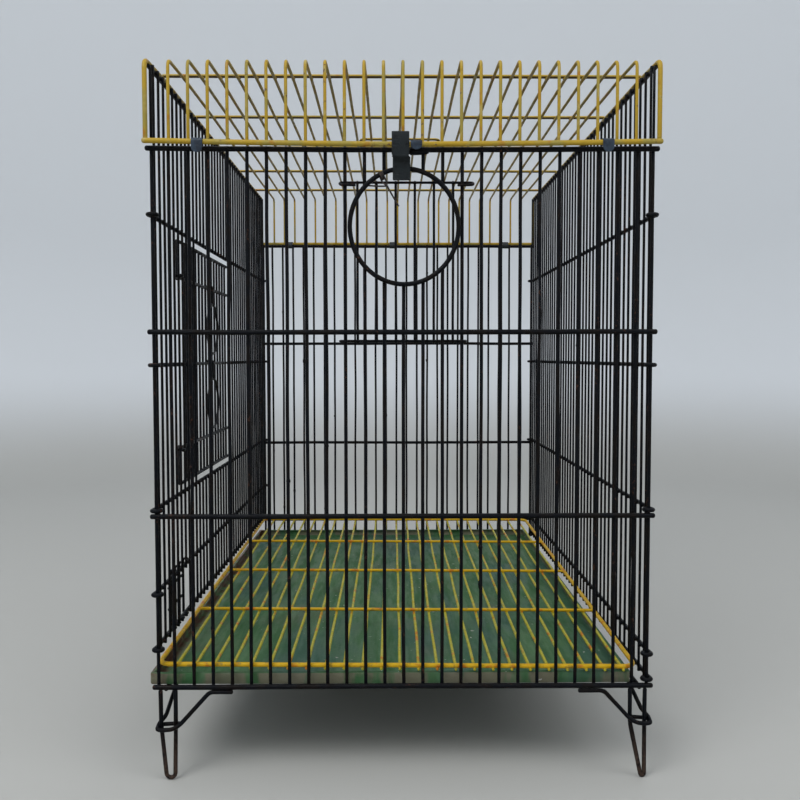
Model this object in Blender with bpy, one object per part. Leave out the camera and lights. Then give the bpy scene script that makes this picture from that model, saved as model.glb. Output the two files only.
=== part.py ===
# Folding wire bird cage, metres, +Z up.
# X runs across the front, Y runs from the front wall to the back wall.
# The origin lies on the ground below the middle of the cage.

import math

import bmesh
import bpy
from mathutils import Matrix, Vector

# Wire spacing and the size of the walls
PITCH = 0.0176              # spacing of the upright wires in every panel
FRONT_GAPS = 26             # gaps across the front and back walls
SIDE_GAPS = 40              # gaps along a side wall
LEG_DROP = 0.0860           # bottom bar of the front wall above the ground
FRONT_LOW_BAR = 0.1622      # heights above the bottom bar of the front wall
FRONT_MID_BAR = 0.3325
FRONT_TOP_BAR = 0.4986
SIDE_LOW_BAR = 0.1672
SIDE_MID_BAR = 0.3020
SIDE_HIGH_BAR = 0.4394
SIDE_TOP_BAR = 0.5790
LEFT_BOTTOM_BAR = 0.0365
LEFT_FEED_BAR = 0.0885
RIGHT_BOTTOM_BAR = 0.0071
RIGHT_SECOND_BAR = 0.0310
BACK_BOTTOM_BAR = 0.0336
SILL_TOP_BAR = 0.0260

# Wire radii
UPRIGHT_R = 0.0016
BAR_R = 0.0024
SIDE_BAR_R = 0.0020
DOOR_WIRE_R = 0.0014
DOOR_RAIL_R = 0.0018
SLIDE_WIRE_R = 0.0012
RING_R = 0.0022
ROOF_CROSS_R = 0.0020
HANDLE_R = 0.0016
LEG_R = 0.0020
BRACE_R = 0.0020
CUP_WIRE_R = 0.0015
TIE_R = 0.0005
TIE_PLACE = 105             # degrees round the ring

# Fits
GAP = 0.0003                # between pieces that touch
EYE_GAP = 0.0004            # between a hinge eye and the wire it turns on
WELD = 0.80                 # centre distance of welded wires over the sum of their radii
BAR_OVERHANG = 0.0050       # bar ends beyond the corner uprights
JOGGLE = 0.0100             # length in which a bar steps out from its weld
TIP = 0.0024                # upright tips beyond the bar they end on
ROOF_SEAT = 0.0009          # roof wires above the side walls' top bars

# Round entrance and its sliding door
RING_RADIUS = 0.0500
RING_DROP = 0.0699          # middle of the ring below the front wall's top bar
DOOR_TOP = 0.4665
DOOR_BOTTOM = 0.3242
DOOR_WIRES = 6
DOOR_HOOK_REACH = 0.0024    # free width of a guide hook beyond its upright

# Door in the left wall, cup rings and feed hatch
SIDE_DOOR_FIRST = 10        # first and last upright cut for the door
SIDE_DOOR_LAST = 20
SIDE_DOOR_HINGE = 5         # upright that the door turns on
SIDE_DOOR_REACH = 22        # last door wire, in pitches from the front
SIDE_DOOR_GAP = 0.0085      # between the wall's bars and the door's rails
SIDE_DOOR_HINGE_RAIL = 0.0380   # hinge rails from the door's top and bottom rails
CUP_RING_RADIUS = 0.0300
CUP_RING_DROP = 0.0190
CUP_RING_PLACE = 0.2752     # middle of the cup rings from the front
FEED_FIRST = 5
FEED_LAST = 6
HATCH_WIRES = 4
HATCH_INSET = 0.0150        # hatch rails from the hatch's ends

# Roof, clips, latch and handle
ROOF_SIDE = 0.0052          # outer roof wire beyond the corner uprights
ROOF_BEND = 0.0060
ROOF_CROSS_WIRES = 5
ROOF_CROSS_SPACING = 0.1465
CLIP_WIDTH = 0.0100
CLIP_SHEET = 0.0010
CLIP_TAIL = 0.0120
CLIP_PLACE = 10.5           # outer clips from the middle, in pitches
BACK_CLIP_PLACE = -0.5      # middle back clip, in pitches
NARROW_CLIP_WIDTH = 0.0078
NARROW_CLIP_PLACE = 0.0112
LATCH_LEFT = -0.0103
LATCH_RIGHT = 0.0056
LATCH_TOP = 0.0120          # thumb end of the latch above its hinge bar
LATCH_PLATE_DROP = 0.0165
LATCH_OVERLAP = 0.0104      # latch strip down over the ring
LATCH_STRIP_WIDTH = 0.0120
LATCH_STEP_IN = 0.0042
HANDLE_WIDTH = 0.0880
HANDLE_REACH = 0.0300

# Floor
RAIL_INSET = 0.0065
RAIL_R = 0.0022
TRAY_DEPTH = 0.0150
TRAY_SHEET = 0.0011
TRAY_RIM = 0.0040
TRAY_LEFT = 0.0207          # tray beyond the left corner uprights
TRAY_RIGHT = 0.0064         # tray inside the right corner uprights
TRAY_END_GAP = 0.0044       # tray walls behind the front and back uprights
GRID_R = 0.0022
GRID_WIRE_R = 0.0015
GRID_CROSS_R = 0.0018
GRID_LEFT = 0.0015
GRID_RIGHT = 0.0088
GRID_CORNER = 0.0120
GRID_WIRES = 25
GRID_SHIFT = -0.0030
GRID_CROSS_WIRES = 3
GRID_INSET = 0.0050

# Legs and braces
LEG_OUTER = 0.0023          # outer prong inside the corner upright
LEG_WIDTH = 0.0140
FOOT_RADIUS = 0.0046
FOOT_STEPS = 7              # odd, so that the foot rests on a flat
FRONT_LEFT_FOOT = 0.0110    # middle of each foot inside its corner upright
FRONT_RIGHT_FOOT = 0.0040
BACK_FOOT = 0.0088
BRACE_LOOP = 0.0365         # loop of the brace below the bottom bar
BRACE_BEND = 0.0452         # from the corner upright to the bend under the front bar
BRACE_FOOT = 0.0245
BRACE_RISE = 0.0110
BRACE_SIDE = 0.0550

# Shading, in degrees between faces
WIRE_CREASE = 95
SHEET_CREASE = 40

# Places worked out from the sizes above
RING_HEIGHT = FRONT_TOP_BAR - RING_DROP
HALF_WIDTH = PITCH * FRONT_GAPS / 2
DEPTH = PITCH * SIDE_GAPS
FRONT_Y = -DEPTH / 2
BACK_Y = DEPTH / 2
BAR_OUT = (UPRIGHT_R + BAR_R) * WELD            # welded bar in front of the uprights
BAR_CLEAR = UPRIGHT_R + BAR_R + GAP
SIDE_WELD = (UPRIGHT_R + SIDE_BAR_R) * WELD
SIDE_CLEAR = UPRIGHT_R + SIDE_BAR_R + GAP
EYE_R = UPRIGHT_R + EYE_GAP + SIDE_BAR_R        # eye round a corner upright
ROOF_Z = LEG_DROP + SIDE_TOP_BAR + SIDE_BAR_R + ROOF_SEAT + UPRIGHT_R
LIP_OUT = BAR_OUT + BAR_R + GAP + UPRIGHT_R     # roof lip outside the front uprights
LIP_BAR_OUT = LIP_OUT + BAR_OUT
LIP_Z = LEG_DROP + FRONT_TOP_BAR + 2 * BAR_R + GAP

BLACK = (0.022, 0.024, 0.028)
SLATE = (0.055, 0.068, 0.090)
ROOF_YELLOW = (0.62, 0.36, 0.035)
GRID_YELLOW = (0.74, 0.50, 0.030)
TRAY_GREEN = (0.065, 0.165, 0.095)
BARE_WIRE = (0.36, 0.33, 0.29)


def clear_scene():
    for item in list(bpy.data.objects):
        bpy.data.objects.remove(item, do_unlink=True)


def material(name, colour, roughness, metallic):
    found = bpy.data.materials.get(name)
    if found:
        return found
    made = bpy.data.materials.new(name)
    made.use_nodes = True
    shader = made.node_tree.nodes["Principled BSDF"]
    shader.inputs["Base Color"].default_value = (*colour, 1.0)
    shader.inputs["Roughness"].default_value = roughness
    shader.inputs["Metallic"].default_value = metallic
    return made


def black_paint():
    return material("black_paint", BLACK, 0.42, 0.25)


def slate_sheet():
    return material("slate_sheet", SLATE, 0.40, 0.45)


def roof_paint():
    return material("roof_paint", ROOF_YELLOW, 0.45, 0.10)


def grid_paint():
    return material("grid_paint", GRID_YELLOW, 0.40, 0.10)


def tray_paint():
    return material("tray_paint", TRAY_GREEN, 0.50, 0.20)


def bare_wire():
    return material("bare_wire", BARE_WIRE, 0.35, 0.85)


# Wires and meshes

def wire_mesh(routes, radius, sides=6, loop=False):
    """One mesh of tubes, each along its own route, with closed ends."""
    curve = bpy.data.curves.new("wire", "CURVE")
    curve.dimensions = "3D"
    curve.bevel_depth = radius
    curve.bevel_resolution = sides // 2 - 2
    curve.use_fill_caps = True
    for route in routes:
        spline = curve.splines.new("POLY")
        spline.points.add(len(route) - 1)
        for point, place in zip(spline.points, route):
            point.co = (*place, 1.0)
        spline.use_cyclic_u = loop
    holder = bpy.data.objects.new("wire", curve)
    bpy.context.collection.objects.link(holder)
    bpy.context.view_layer.update()
    seen = holder.evaluated_get(bpy.context.evaluated_depsgraph_get())
    mesh = bpy.data.meshes.new_from_object(seen)
    bpy.data.objects.remove(holder, do_unlink=True)
    bpy.data.curves.remove(curve)
    return outward(mesh)


def outward(mesh):
    shape = bmesh.new()
    shape.from_mesh(mesh)
    bmesh.ops.remove_doubles(shape, verts=shape.verts, dist=0.000001)
    bmesh.ops.recalc_face_normals(shape, faces=shape.faces)
    shape.to_mesh(mesh)
    shape.free()
    return mesh


def sheet_mesh(outline, start, end):
    """A flat outline in the Y-Z plane, extruded along X from start to end."""
    shape = bmesh.new()
    ring = [shape.verts.new((start, y, z)) for y, z in outline]
    face = shape.faces.new(ring)
    grown = bmesh.ops.extrude_face_region(shape, geom=[face])
    moved = [item for item in grown["geom"] if isinstance(item, bmesh.types.BMVert)]
    bmesh.ops.translate(shape, verts=moved, vec=(end - start, 0, 0))
    bmesh.ops.recalc_face_normals(shape, faces=shape.faces)
    mesh = bpy.data.meshes.new("sheet")
    shape.to_mesh(mesh)
    shape.free()
    return mesh


def place_piece(name, mesh, paint, pivot=None, crease=WIRE_CREASE):
    """A named object whose origin lies on its joint, shaded smooth up to the crease angle."""
    piece = bpy.data.objects.new(name, mesh)
    bpy.context.collection.objects.link(piece)
    if pivot:
        mesh.transform(Matrix.Translation(-Vector(pivot)))
        piece.location = pivot
    mesh.materials.clear()
    mesh.materials.append(paint)
    mesh.shade_smooth()
    mesh.set_sharp_from_angle(angle=math.radians(crease))
    return piece


def fused(first, *others):
    """The first mesh joined to the others as one body."""
    base = bpy.data.objects.new("base", first)
    bpy.context.collection.objects.link(base)
    helpers = []
    for other in others:
        helper = bpy.data.objects.new("joined", other)
        bpy.context.collection.objects.link(helper)
        helpers.append(helper)
        union = base.modifiers.new("union", "BOOLEAN")
        union.operation = "UNION"
        union.solver = "EXACT"
        union.object = helper
    bpy.context.view_layer.update()
    seen = base.evaluated_get(bpy.context.evaluated_depsgraph_get())
    mesh = bpy.data.meshes.new_from_object(seen)
    for item in [base, *helpers]:
        bpy.data.objects.remove(item, do_unlink=True)
    return mesh


def arc(centre, radius, start, sweep, steps):
    """Points of an arc in a plane, angles in degrees."""
    points = []
    for step in range(steps + 1):
        angle = math.radians(start + sweep * step / steps)
        points.append((centre[0] + radius * math.cos(angle), centre[1] + radius * math.sin(angle)))
    return points


# Front and back walls

def across(count):
    """Places of the upright wires across the front or back wall."""
    return [PITCH * number - PITCH * count / 2 for number in range(count + 1)]


def straight_bar(height, offset, plane):
    reach = HALF_WIDTH + BAR_OVERHANG
    return [(-reach, plane + offset, height), (reach, plane + offset, height)]


def stepped_bar(height, weld, clear, plane):
    """A bar welded to the corner uprights that passes just clear of the others."""
    reach = HALF_WIDTH + BAR_OVERHANG
    near = HALF_WIDTH - UPRIGHT_R
    far = near - JOGGLE
    stops = [(-reach, weld), (-near, weld), (-far, clear), (far, clear), (near, weld), (reach, weld)]
    return [(x, plane + offset, height) for x, offset in stops]


def front_uprights():
    """Upright wires of the front wall, cut where the ring stands."""
    low = LEG_DROP - TIP
    high = LEG_DROP + FRONT_TOP_BAR + TIP
    middle = LEG_DROP + RING_HEIGHT
    routes = []
    for x in across(FRONT_GAPS):
        inside = RING_RADIUS - abs(x) > UPRIGHT_R
        if inside:
            rise = math.sqrt(RING_RADIUS ** 2 - x ** 2)
            routes.append([(x, FRONT_Y, low), (x, FRONT_Y, middle - rise)])
            routes.append([(x, FRONT_Y, middle + rise), (x, FRONT_Y, high)])
        else:
            routes.append([(x, FRONT_Y, low), (x, FRONT_Y, high)])
    return routes


def front_panel():
    uprights = wire_mesh(front_uprights(), UPRIGHT_R, 4)
    welded = [straight_bar(LEG_DROP, -BAR_OUT, FRONT_Y),
              straight_bar(LEG_DROP + FRONT_TOP_BAR, -BAR_OUT, FRONT_Y)]
    stepped = [stepped_bar(LEG_DROP + height, -BAR_OUT, -BAR_CLEAR, FRONT_Y)
               for height in (FRONT_LOW_BAR, FRONT_MID_BAR)]
    bars = wire_mesh(welded + stepped, BAR_R, 6)
    place_piece("front_panel", fused(uprights, bars), black_paint())


def ring_plane():
    """The ring stands in front of the uprights it is welded to."""
    return FRONT_Y - UPRIGHT_R - GAP - RING_R


def entry_ring():
    middle = LEG_DROP + RING_HEIGHT
    plane = ring_plane()
    route = [(x, plane, z) for x, z in arc((0, middle), RING_RADIUS, 0, 360, 28)[:-1]]
    place_piece("entry_ring", wire_mesh([route], RING_R, 6, loop=True), black_paint())


def back_panel():
    low = LEG_DROP + BACK_BOTTOM_BAR - TIP
    high = LEG_DROP + FRONT_TOP_BAR + TIP
    uprights = wire_mesh([[(x, BACK_Y, low), (x, BACK_Y, high)] for x in across(FRONT_GAPS)],
                         UPRIGHT_R, 4)
    welded = [straight_bar(LEG_DROP + BACK_BOTTOM_BAR, BAR_OUT, BACK_Y),
              straight_bar(LEG_DROP + FRONT_TOP_BAR, BAR_OUT, BACK_Y)]
    stepped = [stepped_bar(LEG_DROP + height, BAR_OUT, BAR_CLEAR, BACK_Y)
               for height in (FRONT_LOW_BAR, FRONT_MID_BAR)]
    bars = wire_mesh(welded + stepped, BAR_R, 6)
    pivot = (HALF_WIDTH, BACK_Y, LEG_DROP + BACK_BOTTOM_BAR)
    place_piece("back_panel", fused(uprights, bars), black_paint(), pivot)


def rear_sill():
    """The low strip of wires that stays on the base behind the tray."""
    low = LEG_DROP - TIP
    high = LEG_DROP + SILL_TOP_BAR + TIP
    uprights = wire_mesh([[(x, BACK_Y, low), (x, BACK_Y, high)] for x in across(FRONT_GAPS)],
                         UPRIGHT_R, 4)
    bars = wire_mesh([straight_bar(LEG_DROP, BAR_OUT, BACK_Y),
                      stepped_bar(LEG_DROP + SILL_TOP_BAR, BAR_OUT, BAR_CLEAR, BACK_Y)],
                     BAR_R, 6)
    place_piece("rear_sill", fused(uprights, bars), black_paint())


# Side walls

def side_place(number):
    """Place along Y of an upright of a side wall, half a pitch from the corner."""
    return FRONT_Y + PITCH * (number + 0.5)


def eye(side, end, height):
    """An open eye round a corner upright, ending where the bar starts."""
    corner_y = FRONT_Y if end == "front" else BACK_Y
    toward = -1 if end == "front" else 1
    points = arc((0, 0), EYE_R, -250, 250, 7)
    return [(side * (HALF_WIDTH + x), corner_y + toward * -y, height) for x, y in points]


def side_bar(side, height, welded, front_eye=True, back_eye=True):
    """A bar of a side wall from its front eye to its back eye."""
    weld_x = side * (HALF_WIDTH + SIDE_WELD)
    clear_x = side * (HALF_WIDTH + SIDE_CLEAR)
    front_y = side_place(0)
    back_y = side_place(SIDE_GAPS - 1)
    start = eye(side, "front", height) if front_eye else [(weld_x, FRONT_Y + UPRIGHT_R, height)]
    finish = eye(side, "back", height)[::-1] if back_eye else [(weld_x, back_y + TIP, height)]
    steps = [(weld_x, front_y - UPRIGHT_R, height)]
    if not welded:
        steps += [(weld_x, front_y + UPRIGHT_R, height), (clear_x, front_y + JOGGLE, height),
                  (clear_x, back_y - JOGGLE, height), (weld_x, back_y - UPRIGHT_R, height)]
    steps.append((weld_x, back_y + UPRIGHT_R, height))
    return start + steps + finish


def split_bar(side, height, gap_start, gap_end):
    """The same bar in two halves that leave the door opening free."""
    whole = side_bar(side, height, welded=False)
    clear_x = side * (HALF_WIDTH + SIDE_CLEAR)
    front = [point for point in whole if point[1] < gap_start] + [(clear_x, gap_start, height)]
    back = [(clear_x, gap_end, height)] + [point for point in whole if point[1] > gap_end]
    return [front, back]


def side_uprights(side, low, cuts):
    """Uprights of a side wall; cuts give the height stretches taken out of some of them."""
    routes = []
    high = LEG_DROP + SIDE_TOP_BAR + TIP
    x = side * HALF_WIDTH
    for number in range(SIDE_GAPS):
        y = side_place(number)
        start = low
        for first, last, bottom, top in cuts:
            if first <= number <= last:
                routes.append([(x, y, start), (x, y, bottom)])
                start = top
        routes.append([(x, y, start), (x, y, high)])
    return routes


def door_opening():
    """Lowest and highest point of the opening in the left wall."""
    return LEG_DROP + SIDE_LOW_BAR, LEG_DROP + SIDE_HIGH_BAR


def left_panel():
    opening_low, opening_high = door_opening()
    feed_low = LEG_DROP + LEFT_BOTTOM_BAR
    feed_high = LEG_DROP + LEFT_FEED_BAR
    cuts = [(FEED_FIRST, FEED_LAST, feed_low + TIP, feed_high - TIP),
            (SIDE_DOOR_FIRST, SIDE_DOOR_LAST, opening_low + TIP, opening_high - TIP)]
    low = LEG_DROP + LEFT_BOTTOM_BAR - TIP
    uprights = wire_mesh(side_uprights(-1, low, cuts), UPRIGHT_R, 4)
    gap_start = side_place(SIDE_DOOR_FIRST - 1) + UPRIGHT_R
    gap_end = side_place(SIDE_DOOR_LAST + 1) - UPRIGHT_R
    routes = [side_bar(-1, feed_low, True, back_eye=False),
              side_bar(-1, feed_high, False),
              side_bar(-1, opening_low, False),
              side_bar(-1, opening_high, False),
              side_bar(-1, LEG_DROP + SIDE_TOP_BAR, True, front_eye=False, back_eye=False)]
    routes += split_bar(-1, LEG_DROP + SIDE_MID_BAR, gap_start, gap_end)
    bars = wire_mesh(routes, SIDE_BAR_R, 4)
    pivot = (-HALF_WIDTH, FRONT_Y, feed_low)
    place_piece("left_panel", fused(uprights, bars), black_paint(), pivot)


def right_panel():
    low = LEG_DROP + RIGHT_BOTTOM_BAR - TIP
    uprights = wire_mesh(side_uprights(1, low, []), UPRIGHT_R, 4)
    routes = [side_bar(1, LEG_DROP + RIGHT_BOTTOM_BAR, True, back_eye=False),
              side_bar(1, LEG_DROP + RIGHT_SECOND_BAR, False, back_eye=False),
              side_bar(1, LEG_DROP + SIDE_LOW_BAR, False),
              side_bar(1, LEG_DROP + SIDE_MID_BAR, False),
              side_bar(1, LEG_DROP + SIDE_HIGH_BAR, False),
              side_bar(1, LEG_DROP + SIDE_TOP_BAR, True, front_eye=False, back_eye=False)]
    bars = wire_mesh(routes, SIDE_BAR_R, 4)
    pivot = (HALF_WIDTH, FRONT_Y, LEG_DROP + RIGHT_BOTTOM_BAR)
    place_piece("right_panel", fused(uprights, bars), black_paint(), pivot)


# Door in the round entrance

def guide_hook(side, height):
    """A rail end bent round an upright, open towards the ring."""
    upright = side * PITCH * 3
    behind = FRONT_Y + UPRIGHT_R + GAP + SLIDE_WIRE_R
    before = FRONT_Y - UPRIGHT_R - GAP - SLIDE_WIRE_R
    outer = upright + side * (UPRIGHT_R + SLIDE_WIRE_R + DOOR_HOOK_REACH)
    corner = side * SLIDE_WIRE_R
    return [(outer - corner, behind, height), (outer, FRONT_Y + SLIDE_WIRE_R, height),
            (outer, FRONT_Y - SLIDE_WIRE_R, height), (outer - corner, before, height),
            (upright + side * GAP, before, height)]


def front_door():
    """Six short wires on two rails that slide down the uprights beside the ring."""
    plane = FRONT_Y + UPRIGHT_R + GAP + SLIDE_WIRE_R
    wires_plane = plane + 2 * SLIDE_WIRE_R * WELD
    top = LEG_DROP + DOOR_TOP
    bottom = LEG_DROP + DOOR_BOTTOM
    rails = [guide_hook(-1, height)[::-1] + guide_hook(1, height) for height in (bottom, top)]
    places = [PITCH * (number - (DOOR_WIRES - 1) / 2) for number in range(DOOR_WIRES)]
    wires = [[(x, wires_plane, bottom - TIP), (x, wires_plane, top + TIP)] for x in places]
    mesh = fused(wire_mesh(wires, SLIDE_WIRE_R, 4), wire_mesh(rails, SLIDE_WIRE_R, 4))
    place_piece("front_door", mesh, black_paint(), (0, plane, top))


def tie_wire():
    """Thin binding wire wound round the top of the ring, with two loose tails."""
    turns = 3
    steps = 8
    lean = math.radians(TIE_PLACE)
    middle = LEG_DROP + RING_HEIGHT
    out = Vector((math.cos(lean), 0, math.sin(lean)))
    along = Vector((-math.sin(lean), 0, math.cos(lean)))
    centre = Vector((0, ring_plane(), middle)) + out * RING_RADIUS
    radius = RING_R + GAP + TIE_R
    rise = 2 * TIE_R + GAP
    toward_front = Vector((0, -1, 0))
    coil = []
    for step in range(turns * steps + 1):
        angle = 2 * math.pi * step / steps
        spot = centre + along * (rise * step / steps - rise * turns / 2)
        coil.append(spot + radius * (math.cos(angle) * toward_front + math.sin(angle) * -out))
    first = coil[0] + Vector((0.0060, -0.0020, -0.0150))
    last = coil[-1] + Vector((-0.0110, -0.0015, -0.0060))
    last_tip = last + Vector((-0.0040, -0.0010, -0.0050))
    place_piece("tie_wire", wire_mesh([[first, *coil, last, last_tip]], TIE_R, 4), bare_wire())


# Door in the left wall, cup rings and feed hatch

def side_door_rail():
    """Middle of the rails of the side door, outside the wall's uprights."""
    return -(HALF_WIDTH + UPRIGHT_R + EYE_GAP + DOOR_RAIL_R + UPRIGHT_R)


def hinge_rail(height, finish):
    """A door rail that ends in an eye round the hinge upright."""
    pivot_y = side_place(SIDE_DOOR_HINGE)
    radius = UPRIGHT_R + EYE_GAP + DOOR_RAIL_R
    rail_x = side_door_rail()
    curl = [(-HALF_WIDTH + x, pivot_y - y, height) for x, y in arc((0, 0), radius, 60, -240, 6)]
    return [*curl, (rail_x, pivot_y + 2 * radius, height), (rail_x, finish, height)]


def side_door():
    low, high = door_opening()
    low += SIDE_DOOR_GAP
    high -= SIDE_DOOR_GAP
    rail_x = side_door_rail()
    wire_x = rail_x - (DOOR_RAIL_R + DOOR_WIRE_R) * WELD
    last = FRONT_Y + PITCH * SIDE_DOOR_REACH
    finish = last + DOOR_WIRE_R
    hinge_y = side_place(SIDE_DOOR_HINGE)
    first = hinge_y + PITCH / 2
    rails = [hinge_rail(low + SIDE_DOOR_HINGE_RAIL, finish), hinge_rail(high - SIDE_DOOR_HINGE_RAIL, finish)]
    rails += [[(rail_x, first - DOOR_WIRE_R, height), (rail_x, finish, height)] for height in (low, high)]
    middle_start = side_place(SIDE_DOOR_FIRST) - PITCH / 2
    middle_end = side_place(SIDE_DOOR_LAST) + PITCH / 4
    middle = LEG_DROP + SIDE_MID_BAR
    rails.append([(rail_x, middle_start, middle), (rail_x, middle_end, middle)])
    count = round((last - first) / PITCH)
    wires = [[(wire_x, first + PITCH * number, low - TIP), (wire_x, first + PITCH * number, high + TIP)]
             for number in range(count + 1)]
    mesh = fused(wire_mesh(wires, DOOR_WIRE_R, 4), wire_mesh(rails, DOOR_RAIL_R, 4))
    place_piece("side_door", mesh, black_paint(), (-HALF_WIDTH, hinge_y, middle))


def cup_ring(name, height):
    """A wire ring that hangs from a door rail by two hooks and swings up to hold a cup."""
    rail_x = side_door_rail()
    middle_y = FRONT_Y + CUP_RING_PLACE
    hook_r = DOOR_RAIL_R + EYE_GAP + CUP_WIRE_R
    plane = rail_x + hook_r
    centre_z = height - CUP_RING_DROP - CUP_RING_RADIUS
    spread = CUP_WIRE_R + GAP
    lean = math.degrees(math.asin(spread / CUP_RING_RADIUS))
    ring = arc((middle_y, centre_z), CUP_RING_RADIUS, 90 + lean, 360 - 2 * lean, 16)
    hook = [(rail_x + x, height + z) for x, z in arc((0, 0), hook_r, 190, -190, 5)]
    left = [(x, middle_y - spread, z) for x, z in hook]
    right = [(x, middle_y + spread, z) for x, z in hook[::-1]]
    body = [(plane, y, z) for y, z in ring]
    route = left + body + right
    pivot = (rail_x, middle_y, height)
    place_piece(name, wire_mesh([route], CUP_WIRE_R, 4), black_paint(), pivot)


def cup_rings():
    low, high = door_opening()
    cup_ring("upper_cup_ring", high - SIDE_DOOR_GAP - SIDE_DOOR_HINGE_RAIL)
    cup_ring("lower_cup_ring", LEG_DROP + SIDE_MID_BAR)


def feed_hatch():
    """Short wires hooked over the feed bar and under the bottom bar, sliding along both."""
    low_bar = LEG_DROP + LEFT_BOTTOM_BAR
    high_bar = LEG_DROP + LEFT_FEED_BAR
    reach = SIDE_BAR_R + GAP + DOOR_WIRE_R
    wire_x = -(HALF_WIDTH + SIDE_CLEAR + SIDE_BAR_R + GAP + DOOR_WIRE_R)
    hook_x = -(HALF_WIDTH + UPRIGHT_R + GAP)
    first = side_place(FEED_FIRST - 1)
    wires = []
    for number in range(HATCH_WIRES):
        y = first + PITCH * number
        wires.append([(hook_x, y, low_bar - reach), (wire_x, y, low_bar - reach),
                      (wire_x, y, high_bar + reach), (hook_x, y, high_bar + reach)])
    rail_x = wire_x - 2 * DOOR_WIRE_R * WELD
    span = PITCH * (HATCH_WIRES - 1) + DOOR_WIRE_R
    rails = [[(rail_x, first - DOOR_WIRE_R, height), (rail_x, first + span, height)]
             for height in (low_bar + HATCH_INSET, high_bar - HATCH_INSET)]
    mesh = fused(wire_mesh(wires, DOOR_WIRE_R, 4), wire_mesh(rails, DOOR_WIRE_R, 4))
    place_piece("feed_hatch", mesh, black_paint(), (wire_x, first, low_bar))


# Roof with its clips, latch and handle

def roof_wire(x):
    """One roof wire: front lip, top and back lip."""
    front = FRONT_Y - LIP_OUT
    back = BACK_Y + LIP_OUT
    low = LIP_Z - UPRIGHT_R
    drop = ROOF_Z - ROOF_BEND
    return [(x, front, low), (x, front, drop), (x, front + ROOF_BEND, ROOF_Z),
            (x, back - ROOF_BEND, ROOF_Z), (x, back, drop), (x, back, low)]


def roof_side():
    return HALF_WIDTH + ROOF_SIDE


def roof_cross_z():
    return ROOF_Z + UPRIGHT_R + GAP + ROOF_CROSS_R


def roof_cross_wire(y):
    """A cross wire welded to the outer roof wires and clear of the others."""
    reach = roof_side() + UPRIGHT_R
    near = roof_side() - UPRIGHT_R
    far = near - JOGGLE
    weld = ROOF_Z + (UPRIGHT_R + ROOF_CROSS_R) * WELD
    clear = roof_cross_z()
    stops = [(-reach, weld), (-near, weld), (-far, clear), (far, clear), (near, weld), (reach, weld)]
    return [(x, y, z) for x, z in stops]


def roof_panel():
    places = [-roof_side()] + across(FRONT_GAPS)[1:-1] + [roof_side()]
    wires = wire_mesh([roof_wire(x) for x in places], UPRIGHT_R, 4)
    middle = (ROOF_CROSS_WIRES - 1) / 2
    crossing = wire_mesh([roof_cross_wire(ROOF_CROSS_SPACING * (number - middle))
                          for number in range(ROOF_CROSS_WIRES)], ROOF_CROSS_R, 4)
    reach = roof_side() + BAR_R
    lips = wire_mesh([[(-reach, y, LIP_Z), (reach, y, LIP_Z)]
                      for y in (FRONT_Y - LIP_BAR_OUT, BACK_Y + LIP_BAR_OUT)], BAR_R, 6)
    pivot = (0, BACK_Y + LIP_BAR_OUT, LIP_Z)
    place_piece("roof_panel", fused(wires, crossing, lips), roof_paint(), pivot)


def curl_outline(centre, inner, start, sweep, steps, tail):
    """Outline of a sheet bent round a bar, with a straight tail that hangs from its front."""
    outer = inner + CLIP_SHEET
    inside = arc(centre, inner, start, sweep, steps)
    outside = arc(centre, outer, start, sweep, steps)
    foot = [(outside[-1][0], outside[-1][1] - tail), (inside[-1][0], inside[-1][1] - tail)]
    return outside + foot + inside[::-1]


def front_clip(name, place, width):
    """A sheet clip curled on the roof's lip bar whose tail hangs before the front wall's top bar."""
    centre = (FRONT_Y - LIP_BAR_OUT, LIP_Z)
    outline = curl_outline(centre, BAR_R + GAP, -100, 280, 8, CLIP_TAIL)
    mesh = sheet_mesh(outline, place - width / 2, place + width / 2)
    place_piece(name, mesh, slate_sheet(), crease=SHEET_CREASE)


def back_clip(name, place):
    """A sheet loop round the roof's back lip bar and the back wall's top bar."""
    top = Vector((BACK_Y + LIP_BAR_OUT, LIP_Z))
    low = Vector((BACK_Y + BAR_OUT, LEG_DROP + FRONT_TOP_BAR))
    lean = math.degrees(math.atan2(top.y - low.y, top.x - low.x))
    loops = []
    for radius in (BAR_R + GAP + CLIP_SHEET, BAR_R + GAP):
        loops.append(arc(top, radius, lean - 90, 180, 5) + arc(low, radius, lean + 90, 180, 5))
    start = place - CLIP_WIDTH / 2
    shape = bmesh.new()
    rings = [[shape.verts.new((start, y, z)) for y, z in loop] for loop in loops]
    edges = [shape.edges.new((ring[i - 1], ring[i])) for ring in rings for i in range(len(ring))]
    faces = bmesh.ops.bridge_loops(shape, edges=edges)["faces"]
    grown = bmesh.ops.extrude_face_region(shape, geom=faces)
    moved = [item for item in grown["geom"] if isinstance(item, bmesh.types.BMVert)]
    bmesh.ops.translate(shape, verts=moved, vec=(CLIP_WIDTH, 0, 0))
    bmesh.ops.recalc_face_normals(shape, faces=shape.faces)
    mesh = bpy.data.meshes.new("loop")
    shape.to_mesh(mesh)
    shape.free()
    place_piece(name, mesh, slate_sheet(), crease=SHEET_CREASE)


def roof_clips():
    outer = CLIP_PLACE * PITCH
    front_clip("front_clip_left", -outer, CLIP_WIDTH)
    front_clip("front_clip_middle", NARROW_CLIP_PLACE, NARROW_CLIP_WIDTH)
    front_clip("front_clip_right", outer, CLIP_WIDTH)
    back_clip("back_clip_left", -outer)
    back_clip("back_clip_middle", BACK_CLIP_PLACE * PITCH)
    back_clip("back_clip_right", outer)


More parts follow.
